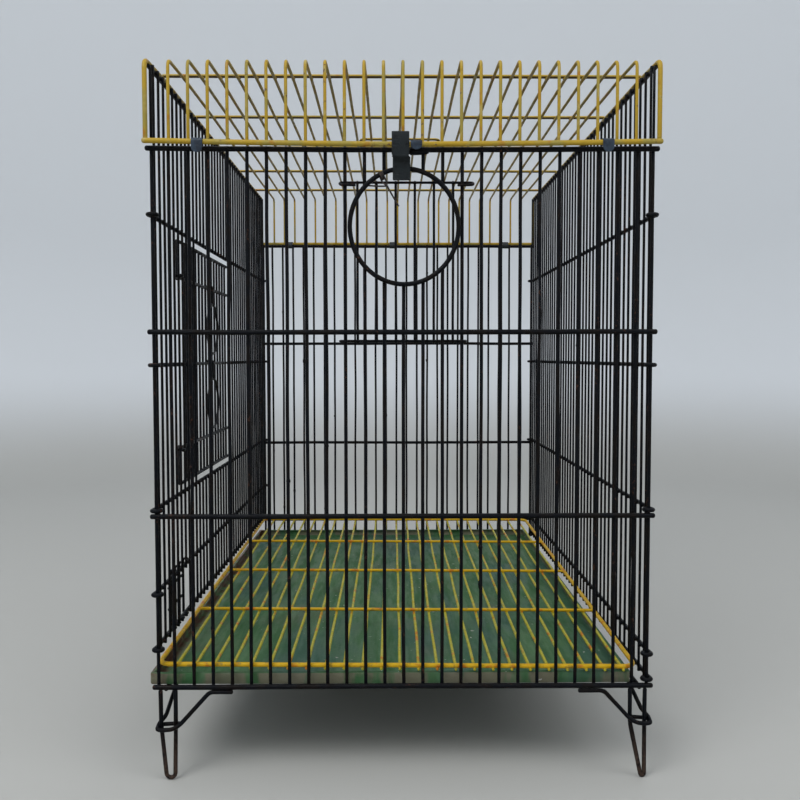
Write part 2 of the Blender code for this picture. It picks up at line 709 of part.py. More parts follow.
def latch_plate():
    """A sheet latch that hangs on the front lip bar and flips up."""
    bar = (FRONT_Y - LIP_BAR_OUT, LIP_Z)
    inner = BAR_R + GAP
    knuckle = arc(bar, inner + CLIP_SHEET, 180, 330, 9) + arc(bar, inner, 180, 330, 9)[::-1]
    front = bar[0] - inner - CLIP_SHEET
    back = bar[0] - inner
    top = LIP_Z + LATCH_TOP
    plate_low = LIP_Z - LATCH_PLATE_DROP
    strip_low = LEG_DROP + RING_HEIGHT + RING_RADIUS - LATCH_OVERLAP
    step_low = plate_low - LATCH_STEP_IN
    plate = [(front, top), (front, plate_low), (back, plate_low), (back, top)]
    strip = [(front, plate_low + CLIP_SHEET), (front, plate_low), (front + LATCH_STEP_IN, step_low),
             (front + LATCH_STEP_IN, strip_low), (back + LATCH_STEP_IN, strip_low),
             (back + LATCH_STEP_IN, step_low), (back, plate_low), (back, plate_low + CLIP_SHEET)]
    middle = (LATCH_LEFT + LATCH_RIGHT) / 2
    room = UPRIGHT_R + 2 * GAP
    half = LATCH_STRIP_WIDTH / 2
    mesh = fused(sheet_mesh(plate, LATCH_LEFT, LATCH_RIGHT),
                 sheet_mesh(strip, middle - half, middle + half),
                 sheet_mesh(knuckle, LATCH_LEFT + GAP, -room),
                 sheet_mesh(knuckle, room, LATCH_RIGHT - GAP))
    place_piece("latch_plate", mesh, slate_sheet(), (0, *bar), SHEET_CREASE)


def carry_handle():
    """A wire bail whose eyes turn on the middle cross wire of the roof."""
    pivot_z = roof_cross_z()
    radius = ROOF_CROSS_R + EYE_GAP + HANDLE_R
    half = HANDLE_WIDTH / 2
    grip_z = ROOF_Z + UPRIGHT_R + GAP + HANDLE_R
    bend = 2 * HANDLE_R
    curl = [(y, pivot_z + z) for y, z in arc((0, 0), radius, 0, 205, 6)]
    left = [(-half, y, z) for y, z in curl]
    grip = [(-half, -HANDLE_REACH + bend, grip_z), (-half + bend, -HANDLE_REACH, grip_z),
            (half - bend, -HANDLE_REACH, grip_z), (half, -HANDLE_REACH + bend, grip_z)]
    right = [(half, y, z) for y, z in curl[::-1]]
    mesh = wire_mesh([left + grip + right], HANDLE_R, 6)
    place_piece("carry_handle", mesh, roof_paint(), (0, 0, pivot_z))


# Floor

def rail_z():
    return LEG_DROP - UPRIGHT_R + GAP


def base_rail(name, side):
    """A rail of the base from the front wall's bottom bar to the sill."""
    x = side * (HALF_WIDTH - RAIL_INSET)
    start = FRONT_Y - BAR_OUT + BAR_R + GAP
    finish = BACK_Y + BAR_OUT - BAR_R - GAP
    mesh = wire_mesh([[(x, start, rail_z()), (x, finish, rail_z())]], RAIL_R, 6)
    place_piece(name, mesh, black_paint())


def tray_floor_z():
    return rail_z() + RAIL_R + GAP


def pan_mesh(left, right, start, finish, profile):
    """A closed pan whose walls follow a profile of insets and heights."""
    shape = bmesh.new()
    rings = []
    for inset, height in profile:
        near, far = start + inset, finish - inset
        corners = [(left + inset, near), (right - inset, near), (right - inset, far), (left + inset, far)]
        rings.append([shape.verts.new((x, y, height)) for x, y in corners])
    shape.faces.new(rings[0])
    shape.faces.new(rings[-1])
    for lower, upper in zip(rings, rings[1:]):
        for number in range(4):
            shape.faces.new((lower[number - 1], lower[number], upper[number], upper[number - 1]))
    bmesh.ops.recalc_face_normals(shape, faces=shape.faces)
    mesh = bpy.data.meshes.new("pan")
    shape.to_mesh(mesh)
    shape.free()
    return mesh


def floor_tray():
    """A sheet pan with a rim folded inwards that slides out to the left."""
    low = tray_floor_z()
    high = low + TRAY_DEPTH
    profile = [(0, low), (0, high), (TRAY_RIM, high), (TRAY_RIM, high - TRAY_SHEET),
               (TRAY_SHEET, high - TRAY_SHEET), (TRAY_SHEET, low + TRAY_SHEET)]
    left = -(HALF_WIDTH + TRAY_LEFT)
    start = FRONT_Y + UPRIGHT_R + TRAY_END_GAP
    mesh = pan_mesh(left, HALF_WIDTH - TRAY_RIGHT, start, -start, profile)
    place_piece("floor_tray", mesh, tray_paint(), (left, 0, low), SHEET_CREASE)


def grid_frame(left, right, start, height):
    """Round the frame once, with rounded corners."""
    turn = GRID_CORNER
    corners = [((right - turn, start + turn), -90), ((right - turn, -start - turn), 0),
               ((left + turn, -start - turn), 90), ((left + turn, start + turn), 180)]
    route = []
    for centre, begin in corners:
        route += [(x, y, height) for x, y in arc(centre, turn, begin, 90, 4)]
    return route


def floor_grid():
    """A wire grid that lies on the tray's rim and slides out with its frame."""
    lower = tray_floor_z() + TRAY_DEPTH + GAP + GRID_WIRE_R
    height = lower + (GRID_R + GRID_WIRE_R) * WELD
    left = -(HALF_WIDTH + GRID_LEFT)
    right = HALF_WIDTH - GRID_RIGHT
    start = FRONT_Y + GRID_INSET
    frame = wire_mesh([grid_frame(left, right, start, height)], GRID_R, 6, loop=True)
    places = [GRID_SHIFT + PITCH * (number - (GRID_WIRES - 1) / 2) for number in range(GRID_WIRES)]
    wires = wire_mesh([[(x, start - TIP, lower), (x, -start + TIP, lower)] for x in places],
                      GRID_WIRE_R, 4)
    upper = lower + GRID_WIRE_R + GAP + GRID_CROSS_R
    step = -2 * start / (GRID_CROSS_WIRES + 1)
    crossing = wire_mesh([[(left, start + step * number, upper), (right, start + step * number, upper)]
                          for number in range(1, GRID_CROSS_WIRES + 1)], GRID_CROSS_R, 4)
    place_piece("floor_grid", fused(frame, wires, crossing), grid_paint(), (left, 0, height))


# Legs and braces

def foot_height():
    """Middle of the foot's bend above the ground that its lowest flat rests on."""
    flat = FOOT_RADIUS * math.cos(math.pi / 2 / FOOT_STEPS)
    return flat + LEG_R * math.cos(math.pi / 6)


def leg_places(foot):
    """Outer and inner prong of a leg at the top, and where the brace loops round it."""
    outer = HALF_WIDTH - LEG_OUTER
    inner = outer - LEG_WIDTH
    height = LEG_DROP - BAR_R - GAP - foot_height()
    share = (BRACE_LOOP - BAR_R - GAP) / height
    outer_there = outer + (foot + FOOT_RADIUS - outer) * share
    inner_there = inner + (foot - FOOT_RADIUS - inner) * share
    return outer, inner, outer_there, inner_there


def hairpin_leg(name, side, end, foot):
    """A leg bent from one wire: two prongs that meet in a round foot."""
    plane = end_plane(end)
    top = LEG_DROP - BAR_R - GAP
    outer, inner, _, _ = leg_places(foot)
    bend = arc((foot, foot_height()), FOOT_RADIUS, 0, -180, FOOT_STEPS)
    route = [(outer, top)] + bend + [(inner, top)]
    mesh = wire_mesh([[(side * x, plane, z) for x, z in route]], LEG_R, 6)
    place_piece(name, mesh, black_paint())


def end_plane(end):
    return FRONT_Y - BAR_OUT if end == "front" else BACK_Y + BAR_OUT


def leg_brace(name, side, end, foot):
    """A wire that runs under the wall's bottom bar, down round the leg and up under the side rail."""
    inward = 1 if end == "front" else -1
    plane = end_plane(end)
    under = LEG_DROP - BAR_R - GAP - BRACE_R
    loop_z = LEG_DROP - BRACE_LOOP
    _, _, outer, inner = leg_places(foot)
    wrap = LEG_R + 2 * GAP + BRACE_R
    rail_x = HALF_WIDTH - RAIL_INSET
    rail_under = rail_z() - RAIL_R - GAP - BRACE_R
    route = [(HALF_WIDTH - BRACE_BEND - BRACE_FOOT, 0.0, under),
             (HALF_WIDTH - BRACE_BEND, 0.0, under),
             (inner - wrap, -wrap, loop_z + BRACE_RISE),
             (outer, -wrap, loop_z),
             (outer + wrap / 2, -wrap, loop_z),
             (outer + wrap, -wrap / 2, loop_z),
             (outer + wrap, wrap / 2, loop_z),
             (outer, wrap + BRACE_R, loop_z + BRACE_R),
             (rail_x, BRACE_SIDE / 2, rail_under),
             (rail_x, BRACE_SIDE, rail_under)]
    points = [(side * x, plane + inward * y, z) for x, y, z in route]
    place_piece(name, wire_mesh([points], BRACE_R, 6), black_paint())


def legs_and_braces():
    feet = {("left", "front"): FRONT_LEFT_FOOT, ("right", "front"): FRONT_RIGHT_FOOT,
            ("left", "back"): BACK_FOOT, ("right", "back"): BACK_FOOT}
    for (side_name, end), inside in feet.items():
        side = -1 if side_name == "left" else 1
        foot = HALF_WIDTH - inside
        hairpin_leg(f"leg_{end}_{side_name}", side, end, foot)
        leg_brace(f"brace_{end}_{side_name}", side, end, foot)


def stand_in_place():
    """Hang every piece from one empty, so that the origin lies below the middle of the whole."""
    left_reach = HALF_WIDTH + TRAY_LEFT
    right_reach = roof_side() + BAR_R
    middle = bpy.data.objects.new("cage", None)
    bpy.context.collection.objects.link(middle)
    middle.location.x = (left_reach - right_reach) / 2
    for piece in bpy.data.objects:
        if piece != middle:
            piece.parent = middle


def build():
    clear_scene()
    front_panel()
    entry_ring()
    back_panel()
    rear_sill()
    left_panel()
    right_panel()
    front_door()
    tie_wire()
    side_door()
    cup_rings()
    feed_hatch()
    roof_panel()
    roof_clips()
    latch_plate()
    carry_handle()
    base_rail("left_base_rail", -1)
    base_rail("right_base_rail", 1)
    floor_tray()
    floor_grid()
    legs_and_braces()
    stand_in_place()


build()
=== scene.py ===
import math
import random

import bpy
from mathutils import Matrix, Vector, noise


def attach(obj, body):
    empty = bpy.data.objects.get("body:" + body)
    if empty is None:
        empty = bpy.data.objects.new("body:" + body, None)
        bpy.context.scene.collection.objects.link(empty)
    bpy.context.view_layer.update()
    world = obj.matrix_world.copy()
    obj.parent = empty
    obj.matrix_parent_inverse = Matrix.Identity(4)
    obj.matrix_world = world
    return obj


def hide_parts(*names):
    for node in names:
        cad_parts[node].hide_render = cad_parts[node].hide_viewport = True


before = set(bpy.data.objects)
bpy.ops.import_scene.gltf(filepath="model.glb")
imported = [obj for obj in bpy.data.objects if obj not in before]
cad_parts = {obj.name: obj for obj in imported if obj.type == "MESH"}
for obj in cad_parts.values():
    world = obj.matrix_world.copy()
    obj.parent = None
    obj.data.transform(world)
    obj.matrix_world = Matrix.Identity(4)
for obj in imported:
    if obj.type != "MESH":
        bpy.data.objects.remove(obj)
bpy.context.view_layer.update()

print("cage: packed model loaded")

# metres; +x right, +y from the front wall to the back wall, +z up
cage = {
    "middle": 0.00655,      # the cage's middle lies this far right of the origin
    "pitch": 0.0176,        # spacing of the upright wires
    "frontGaps": 26,
    "sideGaps": 40,
    "floorLine": 0.086,     # bottom bar of the front wall above the ground
    "barLine": 0.0878,      # the bottom bar itself, bowed up a little between the legs
    "upright": 0.0016,      # room that an upright takes, as a radius
    "frontWire": 0.00165,   # wire radii
    "sideWire": 0.0013,
    "bar": 0.0024,
    "sideBar": 0.0020,
    "gap": 0.0003,
    "tip": 0.0024,          # upright ends beyond their last bar
    "pressed": 0.8,         # welded wires sink into each other: distance of their axes, as a share
    "overhang": 0.0050,     # bar ends beyond the corner uprights
    "barOut": 0.0032,       # bars lie this far outside the uprights
    "sideBarOut": 0.0030,
}
cage["halfWidth"] = cage["pitch"] * cage["frontGaps"] / 2
cage["back"] = cage["pitch"] * cage["sideGaps"] / 2
cage["front"] = -cage["back"]

heights = {                 # above the bottom bar of the front wall
    "frontLow": 0.1622,
    "frontMid": 0.3325,
    "frontTop": 0.4986,
    "sideLow": 0.1672,
    "sideMid": 0.3020,
    "sideHigh": 0.4394,
    "sideTop": 0.5743,
    "leftBottom": 0.0365,
    "leftFeed": 0.0885,
    "rightBottom": 0.0071,
    "rightSecond": 0.0310,
    "backBottom": 0.0336,
    "sillLow": 0.0,
    "sillTop": 0.0283,
}


def wallX(side, out=0.0):
    return cage["middle"] + side * (cage["halfWidth"] + out)


def lineUp(name):
    return cage["floorLine"] + heights[name]


def acrossPlaces(pitch=cage["pitch"], shift=0.0):
    # the corner wires stay at the corners; the ones between may be spread or shifted
    half = cage["frontGaps"] // 2
    inner = [cage["middle"] + shift + pitch * number for number in range(1 - half, half)]
    return [cage["middle"] - cage["halfWidth"]] + inner + [cage["middle"] + cage["halfWidth"]]


def sidePlace(number):
    return cage["front"] + cage["pitch"] * (number + 0.5)


# Wire work: every piece collects its tubes and lumps here and becomes one mesh
def newWork():
    return {"points": [], "faces": [], "marks": [], "mark": 0}


def joined(lower, upper, sides):
    # faces between two rings that start at these point numbers
    faces = []
    for step in range(sides):
        ahead = (step + 1) % sides
        faces.append((lower + step, lower + ahead, upper + ahead, upper + step))
    return faces


def lid(start, sides, turned=False):
    # one face across a ring
    corners = tuple(range(start, start + sides))
    return corners[::-1] if turned else corners


def addRings(work, rings):
    first = len(work["points"])
    sides = len(rings[0])
    for ring in rings:
        work["points"].extend(ring)
    faces = []
    for number in range(len(rings) - 1):
        faces += joined(first + number * sides, first + (number + 1) * sides, sides)
    return first, first + (len(rings) - 1) * sides, sides, faces


def keepFaces(work, faces):
    work["faces"].extend(faces)
    work["marks"].extend([work["mark"]] * len(faces))


def addSkin(work, rings, closed=False):
    # joins rings of points into a skin with closed ends, or into one that runs round to its start
    first, last, sides, faces = addRings(work, rings)
    ends = joined(last, first, sides) if closed else [lid(first, sides, True), lid(last, sides)]
    keepFaces(work, faces + ends)


def unitRing(sides):
    angles = [2 * math.pi * step / sides for step in range(sides)]
    return [(math.cos(angle), math.sin(angle)) for angle in angles]


def roundedEnds(spots, radius):
    ahead = (spots[1] - spots[0]).normalized() * radius
    behind = (spots[-2] - spots[-1]).normalized() * radius
    head = [(spots[0], 0.52), (spots[0] + ahead * 0.22, 0.85), (spots[0] + ahead * 0.62, 1.0)]
    tail = [(spots[-1] + behind * 0.62, 1.0), (spots[-1] + behind * 0.22, 0.85), (spots[-1], 0.52)]
    return head + [(spot, 1.0) for spot in spots[1:-1]] + tail


def addTube(work, route, radius, closed=False, sides=10, lumpy=0.05):
    # a round wire along the route; lumpy is how much the paint swells and thins
    spots = [Vector(place) for place in route]
    steps = [(spot, 1.0) for spot in spots] if closed else roundedEnds(spots, radius)
    count = len(steps)
    normal = Vector((0.31, 0.27, 0.91))
    turn = unitRing(sides)
    rings = []
    for number, (spot, share) in enumerate(steps):
        before = steps[number - 1][0] if closed or number else spot
        after = steps[(number + 1) % count][0] if closed or number < count - 1 else spot
        along = (after - before).normalized()
        normal = (normal - along * normal.dot(along)).normalized()
        side = along.cross(normal)
        swell = radius * share * (1 + lumpy * noise.noise(spot * 160))
        rings.append([spot + swell * (x * normal + y * side) for x, y in turn])
    addSkin(work, rings, closed)


def addLump(work, place, size, sides=8):
    # a small ball of weld or thick paint, its three half widths given in size
    spot = Vector(place)
    rings = []
    for level in (-0.92, -0.55, 0.0, 0.55, 0.92):
        around = math.sqrt(1 - level * level)
        rings.append([spot + Vector((size[0] * around * x, size[1] * around * y, size[2] * level))
                      for x, y in unitRing(sides)])
    addSkin(work, rings)


def bent(points, bend, steps=5):
    # the same route with each corner turned into a smooth bend
    corners = [Vector(point) for point in points]
    route = [corners[0]]
    for before, corner, after in zip(corners, corners[1:], corners[2:]):
        inward = before - corner
        outward = after - corner
        reach = min(bend, inward.length * 0.48, outward.length * 0.48)
        start = corner + inward.normalized() * reach
        finish = corner + outward.normalized() * reach
        for step in range(steps + 1):
            share = step / steps
            route.append(start.lerp(corner, share).lerp(corner.lerp(finish, share), share))
    route.append(corners[-1])
    return route


def swayed(start, finish, seed, sway, across, spacing=0.022):
    # a straight run with the slight wave that long wires keep
    start, finish, across = Vector(start), Vector(finish), Vector(across)
    length = (finish - start).length
    count = max(2, round(length / spacing))
    route = []
    for number in range(count + 1):
        share = number / count
        ease = min(1.0, 7 * share, 7 * (1 - share))
        wave = noise.noise(Vector((seed * 3.71, share * length * 9, 0.4)))
        route.append(start.lerp(finish, share) + across * (sway * ease * wave))
    return route


def circle(radius, start, sweep, steps):
    points = []
    for step in range(steps + 1):
        angle = math.radians(start + sweep * step / steps)
        points.append((radius * math.cos(angle), radius * math.sin(angle)))
    return points


def newObject(name, points, faces, materials, marks=None):
    mesh = bpy.data.meshes.new(name)
    mesh.from_pydata([tuple(point) for point in points], [], faces)
    if marks:
        mesh.polygons.foreach_set("material_index", marks)
    for material in materials:
        mesh.materials.append(material)
    mesh.shade_smooth()
    thing = bpy.data.objects.new(name, mesh)
    bpy.context.collection.objects.link(thing)
    return thing


def mount(piece, body, nodes):
    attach(piece, body)
    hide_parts(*nodes)
    return piece


def finishPiece(name, work, materials, body, nodes, crease=55):
    piece = newObject(name, work["points"], work["faces"], materials, work["marks"])
    piece.data.set_sharp_from_angle(angle=math.radians(crease))
    return mount(piece, body, nodes)


# Paint: nodes are built straight into each material
def plug(paint, node, inputs):
    # a plain value is set on its socket; what comes out of another node is linked to it
    for socket, value in inputs.items():
        if isinstance(value, bpy.types.NodeSocket):
            paint["tree"].links.new(value, node.inputs[socket])
        else:
            node.inputs[socket].default_value = value
    return node


def newNode(paint, kind, inputs):
    return plug(paint, paint["tree"].nodes.new("ShaderNode" + kind), inputs)


def startPaint(name, colour, roughness, metallic=0.0, specular=0.5):
    material = bpy.data.materials.new(name)
    material.use_nodes = True
    tree = material.node_tree
    paint = {"material": material, "tree": tree, "shader": tree.nodes["Principled BSDF"],
             "place": tree.nodes.new("ShaderNodeTexCoord"), "colour": (*colour, 1)}
    plug(paint, paint["shader"], {"Base Color": paint["colour"], "Roughness": roughness,
                                  "Metallic": metallic, "Specular IOR Level": specular})
    return paint


def grain(paint, scale, low, high, detail=2.0, stretch=(1, 1, 1)):
    # noise turned into a mask that rises from 0 at low to 1 at high
    mapping = newNode(paint, "Mapping", {"Vector": paint["place"].outputs["Object"], "Scale": stretch})
    texture = newNode(paint, "TexNoise", {"Vector": mapping.outputs["Vector"], "Scale": scale,
                                          "Detail": detail})
    return spread(paint, texture.outputs["Fac"], low, high)


def spread(paint, value, low, high):
    # 0 at low, 1 at high, and the other way round where low is the larger
    node = newNode(paint, "MapRange", {"Value": value, "From Min": low, "From Max": high})
    node.interpolation_type = "SMOOTHSTEP"
    return node.outputs["Result"]


def alongAxis(paint, output, axis):
    return newNode(paint, "SeparateXYZ", {"Vector": paint["place"].outputs[output]}).outputs[axis]


def facing(paint, axis, low, high):
    # mask of the faces that look along the axis, in the piece's own directions
    return spread(paint, alongAxis(paint, "Normal", axis), low, high)


def lying(paint, axis, low, high):
    # mask by place along the axis
    return spread(paint, alongAxis(paint, "Object", axis), low, high)


def both(paint, first, second):
    node = newNode(paint, "Math", {0: first, 1: second})
    node.operation = "MULTIPLY"
    return node.outputs["Value"]


def lay(paint, mask, over, under=None):
    # paints the over colour on the under one where the mask is 1
    node = newNode(paint, "Mix", {})
    node.data_type = "RGBA"
    plug(paint, node, {"Factor": mask, 6: under or paint["colour"], 7: (*over, 1)})
    return node.outputs[2]


def coated(paint, look, coats):
    # lays one colour of the look after another, each by its own mask
    colour = None
    for name, mask in coats:
        colour = lay(paint, mask, look[name], colour)
    return colour


def finishPaint(paint, colour, roughMask, smooth, rough, bumps):
    roughness = newNode(paint, "MapRange", {"Value": roughMask, "To Min": smooth, "To Max": rough})
    normal = None
    for height, distance in bumps:
        bump = newNode(paint, "Bump", {"Strength": 0.6, "Distance": distance, "Height": height})
        if normal:
            plug(paint, bump, {"Normal": normal})
        normal = bump.outputs["Normal"]
    plug(paint, paint["shader"], {"Base Color": colour, "Roughness": roughness.outputs["Result"],
                                  "Normal": normal})
    return paint["material"]


# Black enamel of the walls: bluish, browner in places, with rust where it has chipped
blackLook = {
    "colour": (0.0017, 0.0024, 0.0042),
    "brown": (0.0042, 0.0029, 0.0026),
    "rust": (0.052, 0.022, 0.013),
    "dust": (0.016, 0.016, 0.016),
    "foot": (0.060, 0.038, 0.028),
    "footHeight": (0.058, 0.008),   # where the feet start to wear, and where they are worn bare
}


def blackEnamel(name, bareFeet=False):
    paint = startPaint(name, blackLook["colour"], 0.42, specular=0.10)
    chips = both(paint, grain(paint, 330, 0.60, 0.68, 3), grain(paint, 17, 0.52, 0.62))
    dust = both(paint, facing(paint, 2, 0.55, 0.95), grain(paint, 120, 0.35, 0.65))
    coats = [("brown", grain(paint, 42, 0.46, 0.62)), ("dust", both(paint, dust, 0.35)),
             ("rust", both(paint, chips, 0.85))]
    if bareFeet:
        worn = both(paint, lying(paint, 2, *blackLook["footHeight"]), grain(paint, 230, 0.30, 0.60, 4))
        coats.append(("foot", both(paint, worn, 0.8)))
    return finishPaint(paint, coated(paint, blackLook, coats), grain(paint, 95, 0.35, 0.70, 3), 0.34, 0.62,
                       [(grain(paint, 520, 0.30, 0.70, 3), 0.00022), (chips, 0.00016)])


# Mustard enamel of the roof: olive and pale in places, darkened underneath with painted shade mixed with some
# dirt
roofLook = {
    "colour": (0.385, 0.250, 0.019),
    "olive": (0.300, 0.235, 0.046),
    "pale": (0.390, 0.295, 0.085),
    "orange": (0.350, 0.165, 0.014),
    # near black-brown of the painted underside shade, partly dirt as well
    "undersideShadeAndDirt": (0.026, 0.015, 0.011),
    "chip": (0.120, 0.070, 0.035),
    "undersideShadeHeight": (0.660, 0.668),   # only the top wires get the painted shade and dirt underneath
}


def roofEnamel():
    paint = startPaint("roofEnamel", roofLook["colour"], 0.45, specular=0.22)
    # painted shade: faces of the top wires that look downwards are darkened to near black-brown, with a
    # little dirt
    under = both(paint, facing(paint, 2, 0.28, -0.30), lying(paint, 2, *roofLook["undersideShadeHeight"]))
    chips = both(paint, grain(paint, 300, 0.60, 0.68, 3), grain(paint, 23, 0.52, 0.62))
    coats = [("olive", grain(paint, 38, 0.46, 0.64)), ("pale", grain(paint, 90, 0.58, 0.72)),
             ("orange", grain(paint, 61, 0.60, 0.70)), ("undersideShadeAndDirt", both(paint, under, 0.93)), ("chip", chips)]
    return finishPaint(paint, coated(paint, roofLook, coats), grain(paint, 80, 0.35, 0.70), 0.36, 0.60,
                       [(grain(paint, 420, 0.30, 0.70, 3), 0.00022), (chips, 0.00014)])


# Bright yellow enamel of the floor grid; the long wires are greener, a painted green reflection of the tray
gridLook = {
    "colour": (0.560, 0.335, 0.006),
    "orange": (0.480, 0.165, 0.008),
    # painted reflection: greener yellow of the long wires, standing in for green light from the tray below
    "long": (0.400, 0.360, 0.026),
    "soil": (0.120, 0.100, 0.040),
}


def gridEnamel(name, colour):
    paint = startPaint(name, colour, 0.40, specular=0.22)
    coats = [("orange", grain(paint, 75, 0.56, 0.68)),
             ("soil", both(paint, grain(paint, 210, 0.56, 0.70, 3), 0.55))]
    return finishPaint(paint, coated(paint, gridLook, coats), grain(paint, 85, 0.35, 0.70), 0.30, 0.55,
                       [(grain(paint, 420, 0.30, 0.70, 3), 0.00020)])


# Green enamel of the tray: brushed streaks, grey soil, pale worn rim and a rusty left end
trayLook = {
    "colour": (0.040, 0.118, 0.044),
    "light": (0.078, 0.165, 0.078),
    "blue": (0.046, 0.112, 0.075),
    "soil": (0.165, 0.150, 0.105),
    "white": (0.460, 0.460, 0.420),
    "film": (0.085, 0.110, 0.066),
    "rust": (0.080, 0.040, 0.026),
    "soilLine": (0.0982, 0.0974),   # the soil's sharp upper line, just below the rim
    "rustyEnd": (-0.216, -0.229),
}


def trayEnamel():
    paint = startPaint("trayEnamel", trayLook["colour"], 0.50, specular=0.20)
    streaks = grain(paint, 26, 0.38, 0.66, 4, (3.2, 0.35, 1))
    soil = both(paint, grain(paint, 34, 0.40, 0.50, 5, (1, 1, 0.3)), facing(paint, 2, 0.9, 0.3))
    soil = both(paint, soil, lying(paint, 2, *trayLook["soilLine"]))
    drops = both(paint, grain(paint, 150, 0.705, 0.735, 2), grain(paint, 11, 0.44, 0.56))
    end = both(paint, lying(paint, 0, *trayLook["rustyEnd"]), grain(paint, 60, 0.34, 0.55, 4))
    coats = [("light", streaks), ("blue", grain(paint, 9, 0.48, 0.66, 3, (1.6, 0.6, 1))),
             ("soil", both(paint, soil, 0.88)), ("film", both(paint, grain(paint, 14, 0.50, 0.72, 4), 0.55)),
             ("white", drops), ("rust", end)]
    rough = grain(paint, 40, 0.35, 0.70, 4, (3, 0.5, 1))
    return finishPaint(paint, coated(paint, trayLook, coats), rough, 0.38, 0.70,
                       [(streaks, 0.00018), (grain(paint, 300, 0.3, 0.7, 3), 0.00010), (drops, 0.0004)])


# Slate blue sheet of the clips and the blacker latch; dark steel of the binding wire
sheetLook = {
    "slate": (0.024, 0.038, 0.058),
    "slateWorn": (0.015, 0.022, 0.034),
    "latch": (0.0085, 0.0120, 0.0140),
    "latchWorn": (0.0045, 0.0060, 0.0070),
    "scratch": (0.05, 0.055, 0.06),
    "tie": (0.012, 0.010, 0.010),
    "tieRust": (0.030, 0.016, 0.011),
}


def sheetEnamel(name, tone):
    paint = startPaint(name, sheetLook[tone], 0.50, metallic=0.10, specular=0.22)
    scratches = grain(paint, 900, 0.62, 0.70, 2, (0.12, 1, 1))
    coats = [(tone + "Worn", grain(paint, 160, 0.50, 0.66, 3)), ("scratch", both(paint, scratches, 0.3))]
    return finishPaint(paint, coated(paint, sheetLook, coats), grain(paint, 200, 0.35, 0.70), 0.36, 0.58,
                       [(grain(paint, 700, 0.3, 0.7, 2), 0.00008)])


def tieSteel():
    paint = startPaint("tieSteel", sheetLook["tie"], 0.55, metallic=0.30)
    tone = lay(paint, grain(paint, 400, 0.45, 0.62, 3), sheetLook["tieRust"])
    return finishPaint(paint, tone, grain(paint, 300, 0.35, 0.70), 0.40, 0.70,
                       [(grain(paint, 1500, 0.3, 0.7, 2), 0.00005)])


paints = {
    "black": blackEnamel("blackEnamel"),
    "feet": blackEnamel("footEnamel", bareFeet=True),
    "roof": roofEnamel(),
    "grid": gridEnamel("gridEnamel", gridLook["colour"]),
    "gridLong": gridEnamel("gridLongEnamel", gridLook["long"]),
    "tray": trayEnamel(),
    "slate": sheetEnamel("slateSheet", "slate"),
    "latch": sheetEnamel("latchSheet", "latch"),
    "tie": tieSteel(),
}
print("cage: paints mixed")


def finishBlack(name, work, body, node, paint="black"):
    return finishPiece(name, work, [paints[paint]], body, [node])


# Front and back walls
frontBack = {
    "uprightSway": 0.0008,
    "barSway": 0.0007,
    "guide": 3,             # uprights beside the ring that the door slides on, from the middle
    "frontPitch": 0.01785,  # the front's inner uprights are spread a little wider
    "frontShift": 0.0006,
    "backShift": -0.0026,
    "topSag": 0.0010,       # of the front wall's top bar
    "ringRadius": 0.0496,   # half width of the ring, which is a little taller than wide
    "ringTall": 0.0523,
    "ringShift": 0.0011,
    "ringDrop": 0.0705,
    "ringWire": 0.0022,
    "weld": (0.0021, 0.0020, 0.0025),
    "weldOut": 0.75,        # how far towards the bar, in upright radii
    "ringWeld": (0.0022, 0.0018, 0.0022),
    "ringWeldIn": 0.0018,
    "frontBlobs": 16,       # knots of paint on each wall
    "backBlobs": 12,
    "scrap": [(0.0120, -0.0024), (0.0210, -0.0029), (0.0302, -0.0020)],  # x, and height from the top bar
    "scrapSize": 0.0034,
}
ringHeight = lineUp("frontTop") - frontBack["ringDrop"]


def addUpright(work, x, y, low, high, seed, sway, across=(1, 0, 0), wire=None):
    wire = wire or (cage["frontWire"] if across[0] else cage["sideWire"])
    addTube(work, swayed((x, y, low), (x, y, high), seed, sway, across), wire)


def addBar(work, y, height, reach, seed, sway, sag):
    # a thick bar from side to side; sag gives how far it hangs down at each x
    route = swayed((cage["middle"] - reach, y, height), (cage["middle"] + reach, y, height),
                   seed, sway, (0, 0, 1))
    for place in route:
        place.z -= sag(place.x)
    addTube(work, route, cage["bar"], sides=12)


def addCrossBar(work, y, height, seed, sag=0.0):
    reach = cage["halfWidth"] + cage["overhang"]
    addBar(work, y, height, reach, seed, frontBack["barSway"],
           lambda x: sag * (1 - ((x - cage["middle"]) / reach) ** 2))


def ringRise(x):
    # height of the ring above its middle at this place, or nothing beside it
    aside = (x - cage["middle"] - frontBack["ringShift"]) / frontBack["ringRadius"]
    return frontBack["ringTall"] * math.sqrt(1 - aside * aside) if abs(aside) < 0.97 else 0.0


def addWelds(work, places, y, height, out):
    # paint fills the corner where a bar crosses an upright
    for x in places:
        addLump(work, (x, y + out * cage["upright"] * frontBack["weldOut"], height), frontBack["weld"])


def addBlobs(work, places, low, high, y, count, seed):
    # runs and knots of paint on the uprights
    dice = random.Random(seed)
    for _ in range(count):
        x = dice.choice(places)
        size = cage["upright"] * dice.uniform(1.15, 1.45)
        addLump(work, (x, y, dice.uniform(low, high)), (size, size, size * dice.uniform(1.2, 2.6)))


